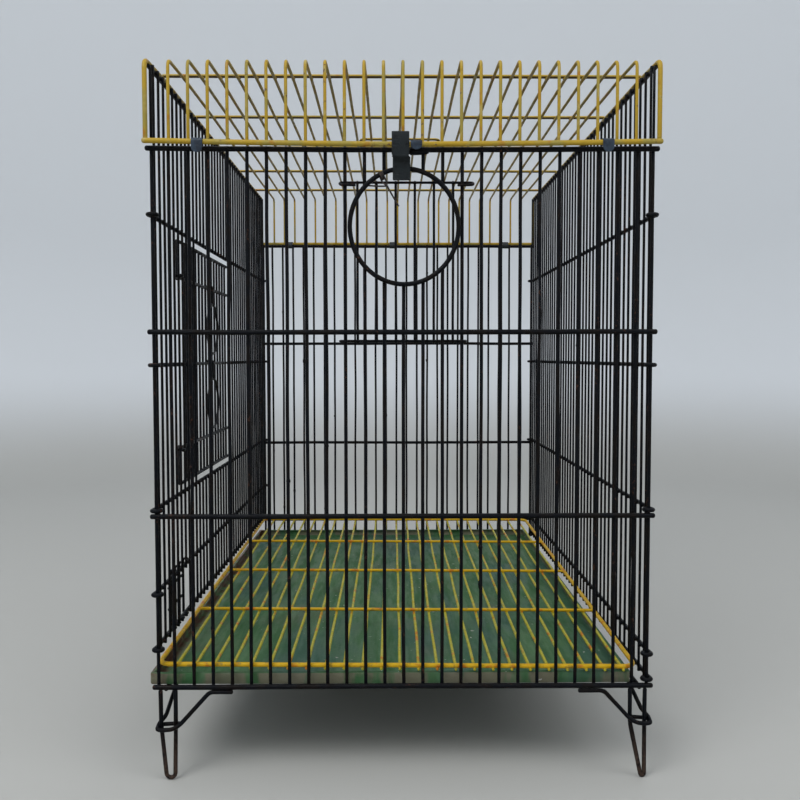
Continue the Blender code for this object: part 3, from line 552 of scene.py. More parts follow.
def buildFrontWall():
    work = newWork()
    low = cage["barLine"] - cage["tip"]
    high = lineUp("frontTop") + cage["tip"]
    y = cage["front"]
    places = acrossPlaces(frontBack["frontPitch"], frontBack["frontShift"])
    middle = len(places) // 2
    for number, x in enumerate(places):
        sway = 0.0 if number in (0, middle - 3, middle + 3, len(places) - 1) else frontBack["uprightSway"]
        rise = ringRise(x)
        if rise:
            addUpright(work, x, y, low, ringHeight - rise, number, sway)
            addUpright(work, x, y, ringHeight + rise, high, number + 50, 0.0)
        else:
            addUpright(work, x, y, low, high, number, sway)
    bars = [cage["barLine"], lineUp("frontLow"), lineUp("frontMid"), lineUp("frontTop")]
    for number, height in enumerate(bars):
        sag = frontBack["topSag"] if number == 3 else 0.0
        addCrossBar(work, y - cage["barOut"], height, 80 + number, sag)
        addWelds(work, places, y, height, -1)
    # none where the door slides
    beside = [x for x in places if abs(x - cage["middle"]) > cage["pitch"] * (frontBack["guide"] + 1)]
    addBlobs(work, beside, bars[0], bars[2], y, frontBack["frontBlobs"], 7)
    # a scrap of sheet pinched round the top bar beside the latch
    scrap = [(x, y - cage["barOut"], bars[3] + down) for x, down in frontBack["scrap"]]
    addTube(work, scrap, frontBack["scrapSize"], sides=8, lumpy=0.30)
    return finishBlack("frontWall", work, "base", "front_panel")


def buildRing():
    work = newWork()
    plane = cage["front"] - cage["upright"] - cage["gap"] - frontBack["ringWire"]
    middle = cage["middle"] + frontBack["ringShift"]
    taller = frontBack["ringTall"] / frontBack["ringRadius"]
    turn = circle(frontBack["ringRadius"], 0, 360, 72)[:-1]
    addTube(work, [(middle + x, plane, ringHeight + taller * z) for x, z in turn],
            frontBack["ringWire"], closed=True, sides=12)
    for x in acrossPlaces(frontBack["frontPitch"], frontBack["frontShift"]):
        rise = ringRise(x)
        for z in (ringHeight + rise, ringHeight - rise) if rise else ():
            addLump(work, (x, plane + frontBack["ringWeldIn"], z), frontBack["ringWeld"])
    return finishBlack("entranceRing", work, "base", "entry_ring")


def addRearWires(work, low, high, sway, names, seed):
    y = cage["back"]
    places = acrossPlaces(shift=frontBack["backShift"])
    for number, x in enumerate(places):
        corner = number in (0, len(places) - 1)
        addUpright(work, x, y, low - cage["tip"], high + cage["tip"], number + seed, 0.0 if corner else sway)
    for number, name in enumerate(names):
        height = lineUp(name)
        addCrossBar(work, y + cage["barOut"], height, 80 + number + seed)
        addWelds(work, places, y, height, 1)
    return places


def buildBackWall():
    work = newWork()
    low, high = lineUp("backBottom"), lineUp("frontTop")
    names = ("backBottom", "frontLow", "frontMid", "frontTop")
    places = addRearWires(work, low, high, frontBack["uprightSway"], names, 200)
    addBlobs(work, places, low, high, cage["back"], frontBack["backBlobs"], 8)
    return finishBlack("backWall", work, "back_wall", "back_panel")


def buildSill():
    work = newWork()
    addRearWires(work, cage["floorLine"], lineUp("sillTop"), 0.0, ("sillLow", "sillTop"), 300)
    return finishBlack("rearSill", work, "base", "rear_sill")


buildFrontWall()
buildRing()
buildBackWall()
buildSill()
print("cage: front and back walls wired")


# Side walls
sides = {
    "eye": 0.0040,          # hinge eye round a corner upright
    "uprightSway": 0.0007,
    "doorFirst": 10,        # uprights cut for the door
    "doorLast": 20,
    "doorHinge": 5,
    "feedFirst": 5,
    "feedLast": 6,
    "bead": (0.0026, 0.0021, 0.0023),
}


def eyeRoute(side, end, height):
    cornerY = cage["front"] if end == "front" else cage["back"]
    toward = 1 if end == "front" else -1
    return [(wallX(side, x), cornerY + toward * y, height) for x, y in circle(sides["eye"], -250, 250, 16)]


def sideBarRoute(side, height, frontEye=True, backEye=True):
    x = wallX(side, cage["sideBarOut"])
    first = sidePlace(0)
    last = sidePlace(cage["sideGaps"] - 1)
    start = eyeRoute(side, "front", height) if frontEye else [(x, cage["front"] + cage["upright"], height)]
    finish = eyeRoute(side, "back", height)[::-1] if backEye else [(x, last + cage["tip"], height)]
    count = 26
    run = [(x, first + (last - first) * number / count, height) for number in range(count + 1)]
    return start + run + finish


def addSideBar(work, side, height, frontEye=True, backEye=True, opening=None):
    route = sideBarRoute(side, height, frontEye, backEye)
    if opening:
        x = wallX(side, cage["sideBarOut"])
        near = [place for place in route if place[1] < opening[0]] + [(x, opening[0], height)]
        far = [(x, opening[1], height)] + [place for place in route if place[1] > opening[1]]
        addTube(work, near, cage["sideBar"])
        addTube(work, far, cage["sideBar"])
    else:
        addTube(work, route, cage["sideBar"])


def addSideUprights(work, side, low, cuts, seed):
    high = lineUp("sideTop") + cage["tip"]
    x = wallX(side)
    for number in range(cage["sideGaps"]):
        y = sidePlace(number)
        still = side < 0 and number in (sides["doorHinge"], sides["doorFirst"] - 1, sides["doorLast"] + 1)
        sway = 0.0 if still else sides["uprightSway"]
        start = low
        for first, last, bottom, top in cuts:
            if first <= number <= last:
                addUpright(work, x, y, start, bottom, seed + number, sway * 0.4, (0, 1, 0))
                start = top
        addUpright(work, x, y, start, high, seed + number, sway, (0, 1, 0))


def addEndWire(work, side):
    # the side wall's own end wire shows above the front wall
    x, y, top = wallX(side), cage["front"], lineUp("sideTop")
    addTube(work, [(x, y - 0.0008, lineUp("frontTop") + 0.0062), (x, y - 0.0008, top - 0.004),
                   (wallX(side, cage["sideBarOut"] * 0.5), y + 0.0010, top)], cage["sideWire"])


def addBeads(work, side, height, numbers):
    # the thick beads of paint where a side bar crosses the uprights
    for number in numbers:
        addLump(work, (wallX(side, 0.0013), sidePlace(number), height), sides["bead"], 7)


def buildLeftWall():
    work = newWork()
    doorLow, doorHigh = lineUp("sideLow"), lineUp("sideHigh")
    feedLow, feedHigh = lineUp("leftBottom"), lineUp("leftFeed")
    tip = cage["tip"]
    cuts = [(sides["feedFirst"], sides["feedLast"], feedLow + tip, feedHigh - tip),
            (sides["doorFirst"], sides["doorLast"], doorLow + tip, doorHigh - tip)]
    addSideUprights(work, -1, feedLow - tip, cuts, 400)
    addEndWire(work, -1)
    everyOne = range(cage["sideGaps"])
    addSideBar(work, -1, feedLow, backEye=False)
    addSideBar(work, -1, lineUp("sideTop"), frontEye=False, backEye=False)
    for height in (feedHigh, doorLow, doorHigh):
        addSideBar(work, -1, height)
    opening = (sidePlace(sides["doorFirst"] - 1) + cage["upright"],
               sidePlace(sides["doorLast"] + 1) - cage["upright"])
    addSideBar(work, -1, lineUp("sideMid"), opening=opening)
    for height in (feedLow, feedHigh, doorLow, doorHigh, lineUp("sideTop")):
        addBeads(work, -1, height, everyOne)
    solid = [number for number in everyOne if not sides["doorFirst"] <= number <= sides["doorLast"]]
    addBeads(work, -1, lineUp("sideMid"), solid)
    return finishBlack("leftWall", work, "left_wall", "left_panel")


def buildRightWall():
    work = newWork()
    addSideUprights(work, 1, lineUp("rightBottom") - cage["tip"], [], 500)
    addEndWire(work, 1)
    names = ("rightBottom", "rightSecond", "sideLow", "sideMid", "sideHigh", "sideTop")
    for name in names:
        addSideBar(work, 1, lineUp(name), frontEye=name != "sideTop",
                   backEye=name in ("sideLow", "sideMid", "sideHigh"))
        addBeads(work, 1, lineUp(name), range(cage["sideGaps"]))
    return finishBlack("rightWall", work, "right_wall", "right_panel")


buildLeftWall()
buildRightWall()
print("cage: side walls wired")


# Door in the round entrance, with the binding wire on the ring
entrance = {
    "wire": 0.0012,
    "top": 0.4665,
    "bottom": 0.3242,
    "wires": 6,
    "hookReach": 0.0024,
    "rightReach": 0.0090,   # the right hooks stand out further
    "lift": 0.0026,         # the top rail is bowed up
    "hookDrop": 0.0035,     # its hook ends hang lower than the rail
    "topTail": 0.0150,      # and run this far back along it
    "shift": 0.0022,
    "sway": 0.0004,
    "weld": (0.0016, 0.0014, 0.0019),
}


def buildFrontDoor():
    work = newWork()
    wire, gap = entrance["wire"], cage["gap"]
    behind = cage["front"] + cage["upright"] + gap + wire
    before = cage["front"] - cage["upright"] - gap - wire
    wiresY = behind + 2 * wire * cage["pressed"]
    low = cage["floorLine"] + entrance["bottom"]
    high = cage["floorLine"] + entrance["top"]
    guide = cage["pitch"] * frontBack["guide"]
    for height in (low, high + entrance["lift"]):
        ends = []
        top = height > high
        for side in (-1, 1):
            drop = entrance["hookDrop"] if top else 0.0004
            reach = entrance["hookReach"] if side < 0 or not top else entrance["rightReach"]
            outer = guide + cage["upright"] + wire + reach
            tail = outer - entrance["topTail"] if top else guide + gap
            ends.append([(cage["middle"] + side * tail, before, height - drop),
                         (cage["middle"] + side * (outer - wire), before, height - drop * 0.9),
                         (cage["middle"] + side * outer, cage["front"], height - drop * 0.4),
                         (cage["middle"] + side * (outer - wire), behind, height)])
        addTube(work, bent(ends[0] + ends[1][::-1], 0.0022, 4), wire)
    for number in range(entrance["wires"]):
        x = cage["middle"] + entrance["shift"] + cage["pitch"] * (number - (entrance["wires"] - 1) / 2)
        addUpright(work, x, wiresY, low - cage["tip"], high + cage["tip"], 600 + number,
                   entrance["sway"], wire=wire)
        for height in (low, high + entrance["lift"]):
            addLump(work, (x, (behind + wiresY) / 2, height), entrance["weld"])
    return finishBlack("entranceDoor", work, "entrance_door", "front_door")


tie = {
    "wire": 0.0008,
    "place": 113,           # degrees round the ring
    "turns": 3,
    "rise": 0.0012,         # from turn to turn
    "knot": (-0.0082, 0.5505),
    "leftTail": (-0.0262, 0.5512),
    "rightTail": (0.0026, 0.5322),
}


def buildTieWire():
    # wound round the top left of the ring; the twisted pair below it opens into two tails
    work = newWork()
    plane = cage["front"] - cage["upright"] - cage["gap"] - frontBack["ringWire"]
    lean = math.radians(tie["place"])
    out = Vector((math.cos(lean), 0, math.sin(lean)))
    along = Vector((-out.z, 0, out.x))
    centre = Vector((cage["middle"], plane, ringHeight)) + out * frontBack["ringRadius"]
    radius = frontBack["ringWire"] + tie["wire"] * 1.5
    steps = 14
    coil = []
    for step in range(tie["turns"] * steps + 1):
        angle = 2 * math.pi * step / steps
        spot = centre + along * (tie["rise"] * (step / steps - tie["turns"] / 2))
        coil.append(spot - radius * (math.cos(angle) * out + math.sin(angle) * Vector((0, 1, 0))))
    (knotX, knotZ), (leftX, leftZ), (rightX, rightZ) = tie["knot"], tie["leftTail"], tie["rightTail"]
    knot = Vector((knotX, plane - 0.0008, knotZ))
    leftTail = [knot + Vector((-0.0060, 0.0004, -0.0002)), Vector((leftX, plane + 0.0006, leftZ))]
    rightTail = [knot + Vector((0.0045, 0.0, -0.0075)), Vector((rightX, plane - 0.0004, rightZ))]
    first = leftTail[::-1] + [knot, coil[0].lerp(knot, 0.4) + Vector((0.0008, 0, 0))] + coil
    last = coil[-1:] + [coil[-1].lerp(knot, 0.5) + Vector((-0.0008, -0.0006, 0)),
                        knot + Vector((0.0002, -0.0010, 0.0002))] + rightTail
    for route in (first, last):
        addTube(work, bent(route, 0.0010, 2), tie["wire"], sides=8)
    return finishPiece("tieWire", work, [paints["tie"]], "base", ["tie_wire"])


buildFrontDoor()
buildTieWire()
print("cage: entrance door hung")


# Door in the left wall, cup rings and feed hatch
sideDoor = {
    "rail": 0.0018,
    "wire": 0.0014,
    "gap": 0.0085,          # between the wall's bars and the door's rails
    "eyeGap": 0.0004,
    "hingeRail": 0.0380,
    "ear": 1,               # the wire at the hinge rails' ears, cut away between them
    "firstWire": 3,         # the first wire of full height
    "reach": 22,
    "cupRadius": 0.0300,
    "cupDrop": 0.0190,
    "cupPlace": 0.2752,
    "cupWire": 0.0015,
    "sway": 0.0005,
    "weld": (0.0018, 0.0019, 0.0021),
}
sideDoor["railX"] = wallX(-1, cage["upright"] * 2 + sideDoor["eyeGap"] + sideDoor["rail"])
sideDoor["low"] = lineUp("sideLow") + sideDoor["gap"]
sideDoor["high"] = lineUp("sideHigh") - sideDoor["gap"]


def buildSideDoor():
    work = newWork()
    rail, wire, x = sideDoor["rail"], sideDoor["wire"], sideDoor["railX"]
    hingeY = sidePlace(sides["doorHinge"])
    eye = cage["upright"] + sideDoor["eyeGap"] + rail
    first = hingeY + cage["pitch"] / 2
    last = cage["front"] + cage["pitch"] * sideDoor["reach"]
    low, high = sideDoor["low"], sideDoor["high"]
    railHeights = [low, high]
    for height in (low + sideDoor["hingeRail"], high - sideDoor["hingeRail"]):
        curl = [(wallX(-1) + across, hingeY - along, height) for across, along in circle(eye, 60, -240, 12)]
        addTube(work, curl + [(x, hingeY + 2 * eye, height), (x, last + wire, height)], rail)
        railHeights.append(height)
    earY = first + cage["pitch"] * sideDoor["ear"]
    for height in (low, high):
        addTube(work, [(x, earY - wire, height), (x, last + wire, height)], rail)
    middle = lineUp("sideMid")
    addTube(work, [(x, sidePlace(sides["doorFirst"]) - cage["pitch"] / 2, middle),
                   (x, sidePlace(sides["doorLast"]) + cage["pitch"] / 4, middle)], rail)
    wireX = x - (rail + wire) * cage["pressed"]
    count = round((last - first) / cage["pitch"])
    for bottom, top in ((low, railHeights[2]), (railHeights[3], high)):
        addTube(work, [(wireX, earY, bottom - cage["tip"]), (wireX, earY, top + cage["tip"])], wire)
    for number in range(sideDoor["firstWire"], count + 1):
        y = first + cage["pitch"] * number
        addUpright(work, wireX, y, low - cage["tip"], high + cage["tip"], 700 + number, sideDoor["sway"],
                   (0, 1, 0), wire)
        for height in railHeights:
            addLump(work, ((x + wireX) / 2, y, height), sideDoor["weld"], 7)
    return finishBlack("swingDoor", work, "swing_door", "side_door")


def buildCupRing(name, body, node, height):
    work = newWork()
    wire = sideDoor["cupWire"]
    y = cage["front"] + sideDoor["cupPlace"]
    hook = sideDoor["rail"] + sideDoor["eyeGap"] + wire
    plane = sideDoor["railX"] + hook
    centre = height - sideDoor["cupDrop"] - sideDoor["cupRadius"]
    apart = wire + cage["gap"]
    lean = math.degrees(math.asin(apart / sideDoor["cupRadius"]))
    ring = [(plane, y + across, centre + up)
            for across, up in circle(sideDoor["cupRadius"], 90 + lean, 360 - 2 * lean, 44)]
    curl = [(sideDoor["railX"] + out, height + up) for out, up in circle(hook, 190, -190, 12)]
    left = [(out, y - apart, up) for out, up in curl]
    right = [(out, y + apart, up) for out, up in curl[::-1]]
    addTube(work, left + bent([left[-1]] + ring + [right[0]], 0.004, 3)[1:-1] + right, wire)
    return finishBlack(name, work, body, node)


hatch = {"wires": 4, "inset": 0.0150, "weld": (0.0015, 0.0017, 0.0018)}


def buildHatch():
    work = newWork()
    wire = sideDoor["wire"]
    low, high = lineUp("leftBottom"), lineUp("leftFeed")
    reach = cage["sideBar"] + cage["gap"] + wire
    clear = cage["upright"] + cage["sideBar"] + cage["gap"]
    outX = wallX(-1, clear + reach)
    hookX = wallX(-1, cage["upright"] + cage["gap"])
    first = sidePlace(sides["feedFirst"] - 1)
    for number in range(hatch["wires"]):
        y = first + cage["pitch"] * number
        addTube(work, bent([(hookX, y, low - reach), (outX, y, low - reach), (outX, y, high + reach),
                            (hookX, y, high + reach)], 0.0022, 4), wire)
    railX = outX - 2 * wire * cage["pressed"]
    last = first + cage["pitch"] * (hatch["wires"] - 1) + wire
    for height in (low + hatch["inset"], high - hatch["inset"]):
        addTube(work, [(railX, y, height) for y in (first - wire, (first + last) / 2, last)], wire)
        for number in range(hatch["wires"]):
            addLump(work, ((outX + railX) / 2, first + cage["pitch"] * number, height), hatch["weld"], 7)
    return finishBlack("feedHatch", work, "hatch", "feed_hatch")


buildSideDoor()
buildCupRing("upperCupRing", "upper_cup", "upper_cup_ring", sideDoor["high"] - sideDoor["hingeRail"])
buildCupRing("lowerCupRing", "lower_cup", "lower_cup_ring", lineUp("sideMid"))
buildHatch()
print("cage: side door, cup rings and hatch hung")


# Roof with its handle
roof = {
    "side": 0.0034,         # outer roof wires beyond the corner uprights
    "seat": 0.0009,
    "bend": 0.0085,
    "wire": 0.0015,
    "edgeWire": 0.0022,
    "cross": 0.0018,
    "frontDip": 0.0021,     # the wires come down a little towards the front edge
    "dipStart": -0.29,
    "lipSag": 0.0028,       # of the front lip's bar in its middle
    "crossWires": 5,
    "crossSpacing": 0.1465,
    "sway": 0.0007,
    "seated": 0.0002,       # how far the cross wires are pressed into the long ones
    "crossSway": 0.0005,
    "lipSway": 0.0002,
    "weld": (0.0017, 0.0022, 0.0015),
    "lipWeld": (0.0019, 0.0020, 0.0021),
}
roof["top"] = lineUp("sideTop") + cage["sideBar"] + roof["seat"] + cage["upright"]
roof["lipOut"] = cage["barOut"] + cage["bar"] + cage["gap"] + cage["upright"]
roof["lipBarOut"] = roof["lipOut"] + cage["barOut"]
roof["lipHeight"] = lineUp("frontTop") + 2 * cage["bar"] + cage["gap"]
roof["crossHeight"] = roof["top"] + cage["upright"] + cage["gap"] + roof["cross"]


def lipSag(x):
    return roof["lipSag"] * max(0.0, 1 - ((x - cage["middle"]) / cage["halfWidth"]) ** 2)


def roofWireRoute(x, seed, sway):
    front = cage["front"] - roof["lipOut"]
    back = cage["back"] + roof["lipOut"]
    low = roof["lipHeight"] - cage["upright"]
    corners = [(x, front, low - lipSag(x)), (x, front, roof["top"] - roof["frontDip"]),
               (x, roof["dipStart"], roof["top"]), (x, back, roof["top"]), (x, back, low)]
    route = []
    for place in bent(corners, roof["bend"], 6):
        route.append(place)
        if len(route) > 1 and (place - route[-2]).length > 0.1:
            start = route[-2]
            route[-1:] = swayed(start, place, seed, sway, (1, 0, 0), 0.035)[1:]
    return route


def buildRoof():
    work = newWork()
    edge = cage["halfWidth"] + roof["side"]
    places = [cage["middle"] - edge] + acrossPlaces()[1:-1] + [cage["middle"] + edge]
    for number, x in enumerate(places):
        outer = number in (0, len(places) - 1)
        addTube(work, roofWireRoute(x, 800 + number, 0.0 if outer else roof["sway"]),
                roof["edgeWire"] if outer else roof["wire"])
    middle = (roof["crossWires"] - 1) / 2
    height = roof["crossHeight"] - roof["seated"]
    for number in range(roof["crossWires"]):
        y = roof["crossSpacing"] * (number - middle)
        addTube(work, swayed((places[0] - 0.001, y, height), (places[-1] + 0.001, y, height),
                             860 + number, roof["crossSway"], (0, 1, 0)), roof["cross"])
        for x in places:
            addLump(work, (x, y, roof["top"] + roof["wire"]), roof["weld"], 7)
    reach = edge + cage["bar"]
    for side, sag in ((-1, lipSag), (1, lambda x: 0.0)):
        y = side * (cage["back"] + roof["lipBarOut"])
        addBar(work, y, roof["lipHeight"], reach, 870, roof["lipSway"], sag)
        for x in places:
            addLump(work, (x, y - side * cage["barOut"] * 0.5, roof["lipHeight"] - sag(x)), roof["lipWeld"])
    return finishPiece("roofPanel", work, [paints["roof"]], "roof", ["roof_panel"])


handle = {"width": 0.0990, "reach": 0.0450, "wire": 0.0016}


def buildHandle():
    work = newWork()
    wire = handle["wire"]
    radius = roof["cross"] + sideDoor["eyeGap"] + wire
    half = handle["width"] / 2
    grip = roof["top"] + cage["upright"] + cage["gap"] + wire
    curl = [(y, roof["crossHeight"] + z) for y, z in circle(radius, 0, 205, 12)]
    left = [(cage["middle"] - half, y, z) for y, z in curl]
    right = [(cage["middle"] + half, y, z) for y, z in curl[::-1]]
    bail = [left[-1], (cage["middle"] - half, -handle["reach"], grip),
            (cage["middle"] + half, -handle["reach"], grip), right[0]]
    addTube(work, left[:-1] + bent(bail, 0.008, 6) + right[1:], wire)
    return finishPiece("carryHandle", work, [paints["roof"]], "handle", ["carry_handle"])


buildRoof()
buildHandle()
print("cage: roof and handle wired")


# Sheet pieces are strips bent to a profile and rounded at their free end
clips = {
    "sheet": 0.0007,
    "width": 0.0102,
    "tail": 0.0100,
    "place": 10.5,          # outer clips from the middle, in pitches
    "backPlace": -0.5,
    "narrowWidth": 0.0104,
    "narrowPlace": 0.0119,
    "corner": 0.0046,       # rounding of a tail's lower corners
}


def sheetPiece(name, profile, widths, middle, thickness, material, body, node):
    # profile: (y, z) points of the outer face; widths: full width of the strip at each of them
    columns = 6
    points, faces = [], []
    for (y, z), width in zip(profile, widths):
        for column in range(columns + 1):
            points.append((middle + width * (column / columns - 0.5), y, z))
    for row in range(len(profile) - 1):
        for column in range(columns):
            start = row * (columns + 1) + column
            faces.append((start, start + 1, start + columns + 2, start + columns + 1))
    piece = newObject(name, points, faces, [material])
    thick = piece.modifiers.new("thick", "SOLIDIFY")
    thick.thickness = thickness
    thick.offset = 1
    soft = piece.modifiers.new("soft", "BEVEL")
    soft.width = thickness * 0.25
    soft.segments = 2
    soft.limit_method = "ANGLE"
    soft.angle_limit = math.radians(50)
    return mount(piece, body, [node])


def roundedTail(length, width, corner, steps=5):
    # how far down the tail and how wide it is there, with round lower corners
    straight = length - corner
    rows = [(straight * 0.4, width), (straight * 0.8, width), (straight, width)]
    for step in range(1, steps + 1):
        angle = math.pi / 2 * step / steps
        rows.append((length - corner + corner * math.sin(angle), width - 2 * corner * (1 - math.cos(angle))))
    return rows


def buildFrontClip(name, node, x, width, tail):
    outer = cage["bar"] + cage["gap"] + clips["sheet"]
    barY = cage["front"] - roof["lipBarOut"]
    bar = roof["lipHeight"] - lipSag(x)
    curl = [(barY + y, bar + z) for y, z in circle(outer, -100, 280, 20)]
    rows = roundedTail(tail, width, min(clips["corner"], width * 0.45))
    profile = curl + [(barY - outer, bar - down) for down, _ in rows]
    widths = [width] * len(curl) + [wide for _, wide in rows]
    return sheetPiece(name, profile, widths, x, clips["sheet"], paints["slate"], "roof", node)


def buildBackClip(name, node, x):
    work = newWork()
    top = Vector((cage["back"] + roof["lipBarOut"], roof["lipHeight"]))
    low = Vector((cage["back"] + cage["barOut"], lineUp("frontTop")))
    lean = math.degrees(math.atan2(top.y - low.y, top.x - low.x))
    inner = cage["bar"] + cage["gap"]
    outer = inner + clips["sheet"]
    edge = clips["sheet"] * 0.25
    half = clips["width"] / 2
    loops = []
    section = [(outer - edge, -half), (outer, -half + edge), (outer, half - edge), (outer - edge, half),
               (inner + edge, half), (inner, half - edge), (inner, -half + edge), (inner + edge, -half)]
    for radius, aside in section:
        upper = [(top.x + y, top.y + z) for y, z in circle(radius, lean - 90, 180, 12)]
        under = [(low.x + y, low.y + z) for y, z in circle(radius, lean + 90, 180, 12)]
        loops.append([Vector((x + aside, y, z)) for y, z in upper + under])
    addSkin(work, loops, closed=True)
    return finishPiece(name, work, [paints["latch"]], "back_wall", [node], 40)


outerClip = clips["place"] * cage["pitch"]
tail = clips["tail"]
for side, x, width, length in (("Left", -outerClip, clips["width"], tail),
                               ("Middle", clips["narrowPlace"], clips["narrowWidth"], tail * 0.55),
                               ("Right", outerClip, clips["width"], tail * 0.9)):
    buildFrontClip(f"frontClip{side}", f"front_clip_{side.lower()}", cage["middle"] + x, width, length)
for side, x in (("Left", -outerClip), ("Middle", clips["backPlace"] * cage["pitch"]), ("Right", outerClip)):
    buildBackClip(f"backClip{side}", f"back_clip_{side.lower()}", cage["middle"] + x)

latch = {
    "left": -0.0103,
    "right": 0.0056,
    "top": 0.0110,          # thumb end above the hinge bar
    "plateDrop": 0.0118,
    "overlap": 0.0118,
    "stripWidth": 0.0158,
    "stripShift": 0.0009,
    "stepIn": 0.0042,
    "leftKnuckle": 0.0060,  # widths of the two knuckles round the lip's bar
    "rightKnuckle": 0.0028,
}


def buildLatch():
    # plate, step and strip in one bent sheet, wide above and narrow below
    outer = cage["bar"] + cage["gap"] + clips["sheet"]
    barY = cage["front"] - roof["lipBarOut"]
    bar = roof["lipHeight"] - roof["lipSag"]
    front = barY - outer
    wide = latch["right"] - latch["left"]
    narrow = latch["stripWidth"]
    plateLow = bar - latch["plateDrop"]
    stepLow = plateLow - latch["stepIn"]
    stripLow = ringHeight + frontBack["ringTall"] - latch["overlap"]
    low = front + latch["stepIn"]
    rows = [(front + 0.0012, bar + latch["top"], wide - 0.0014),
            (front + 0.0003, bar + latch["top"] - 0.0006, wide), (front, bar + latch["top"] - 0.0016, wide),
            (front, bar + 0.004, wide), (front, bar - 0.004, wide), (front, plateLow + 0.0022, wide),
            (front, plateLow + 0.0010, wide - 0.0012), (front, plateLow, narrow),
            (front + 0.0006, plateLow - 0.0007, narrow), (low - 0.0006, stepLow + 0.0007, narrow),
            (low, stepLow - 0.0002, narrow), (low, stripLow + 0.0035, narrow),
            (low, stripLow + 0.0008, narrow), (low, stripLow, narrow - 0.0012)]
    middle = cage["middle"] + (latch["left"] + latch["right"]) / 2
    profile, widths = [(y, z) for y, z, _ in rows], [width for _, _, width in rows]
    piece = sheetPiece("latchPlate", profile, widths, middle, clips["sheet"], paints["latch"], "latch",
                       "latch_plate")
    for point in piece.data.vertices:
        if point.co.z < plateLow:
            point.co.x += latch["stripShift"]
    curl = [(barY + y, bar + z) for y, z in circle(outer, 176, 330, 22)][::-1]
    for name, outside, width in (("Left", latch["left"] - cage["upright"], latch["leftKnuckle"]),
                                 ("Right", latch["right"] + cage["upright"], latch["rightKnuckle"])):
        sheetPiece(f"latchKnuckle{name}", curl, [width] * len(curl), cage["middle"] + outside / 2,
                   clips["sheet"] * 0.4, paints["latch"], "latch", "latch_plate")
    return piece


buildLatch()
print("cage: clips and latch bent")


# Base: rails, legs and braces
base = {
    "railInset": 0.0065,
    "rail": 0.0022,
    "leg": 0.0020,
    "lift": 0.0001,         # the lumpy paint's room above the ground
    "legOuter": 0.0023,
    "legWidth": 0.0140,
    "brace": 0.0020,
    "braceRise": 0.0036,
    "braceSide": 0.0620,
}
base["railHeight"] = cage["floorLine"] - cage["upright"] + cage["gap"]
base["legsLow"] = cage["floorLine"] - cage["bar"] - cage["gap"]
# each foot's place inside the corner, its bend, and its brace's drop, bend and foot length
feet = {
    ("left", "front"): {"inset": 0.0110, "bend": 0.0042, "drop": 0.0365, "turn": 0.0480, "foot": 0.0217},
    ("right", "front"): {"inset": 0.0040, "bend": 0.0018, "drop": 0.0322, "turn": 0.0410, "foot": 0.0240},
    ("left", "back"): {"inset": 0.0088, "bend": 0.0040, "drop": 0.0365, "turn": 0.0452, "foot": 0.0245},
    ("right", "back"): {"inset": 0.0088, "bend": 0.0036, "drop": 0.0345, "turn": 0.0452, "foot": 0.0245},
}


def buildRail(name, node, side):
    work = newWork()
    x = wallX(side, -base["railInset"])
    reach = cage["back"] + cage["barOut"] - cage["bar"] - cage["gap"]
    height = base["railHeight"]
    route = swayed((x, -reach, height), (x, reach, height), 900 + side, 0.0003, (1, 0, 0), 0.04)
    addTube(work, route, base["rail"])
    return finishBlack(name, work, "base", node)


def legLines(sideName, end):
    # what a leg and its brace share: the foot's values, side, plane, bar, two prongs, foot and its height
    this = feet[(sideName, end)]
    side = -1 if sideName == "left" else 1
    plane = cage["front"] - cage["barOut"] if end == "front" else cage["back"] + cage["barOut"]
    bar = cage["barLine"] if end == "front" else cage["floorLine"]
    outer = cage["halfWidth"] - base["legOuter"]
    rest = this["bend"] + base["leg"] + base["lift"]
    return this, side, plane, bar, outer, outer - base["legWidth"], cage["halfWidth"] - this["inset"], rest


def buildLeg(sideName, end):
    # two prongs bent from one wire, meeting in a round foot
    work = newWork()
    this, side, plane, bar, outer, inner, foot, rest = legLines(sideName, end)
    top = bar - cage["bar"] - cage["gap"] * 0.3
    bend = [(foot + x, rest + z) for x, z in circle(this["bend"], 0, -180, 14)]
    route = [(outer, top), (outer - 0.0002, top * 0.62)] + bend + [(inner + 0.0002, top * 0.62), (inner, top)]
    addTube(work, [(cage["middle"] + side * x, plane, z) for x, z in bent(route, 0.006, 3)], base["leg"],
            sides=12, lumpy=0.09)
    name = f"leg{end.title()}{sideName.title()}"
    return finishBlack(name, work, "base", f"leg_{end}_{sideName}", "feet")


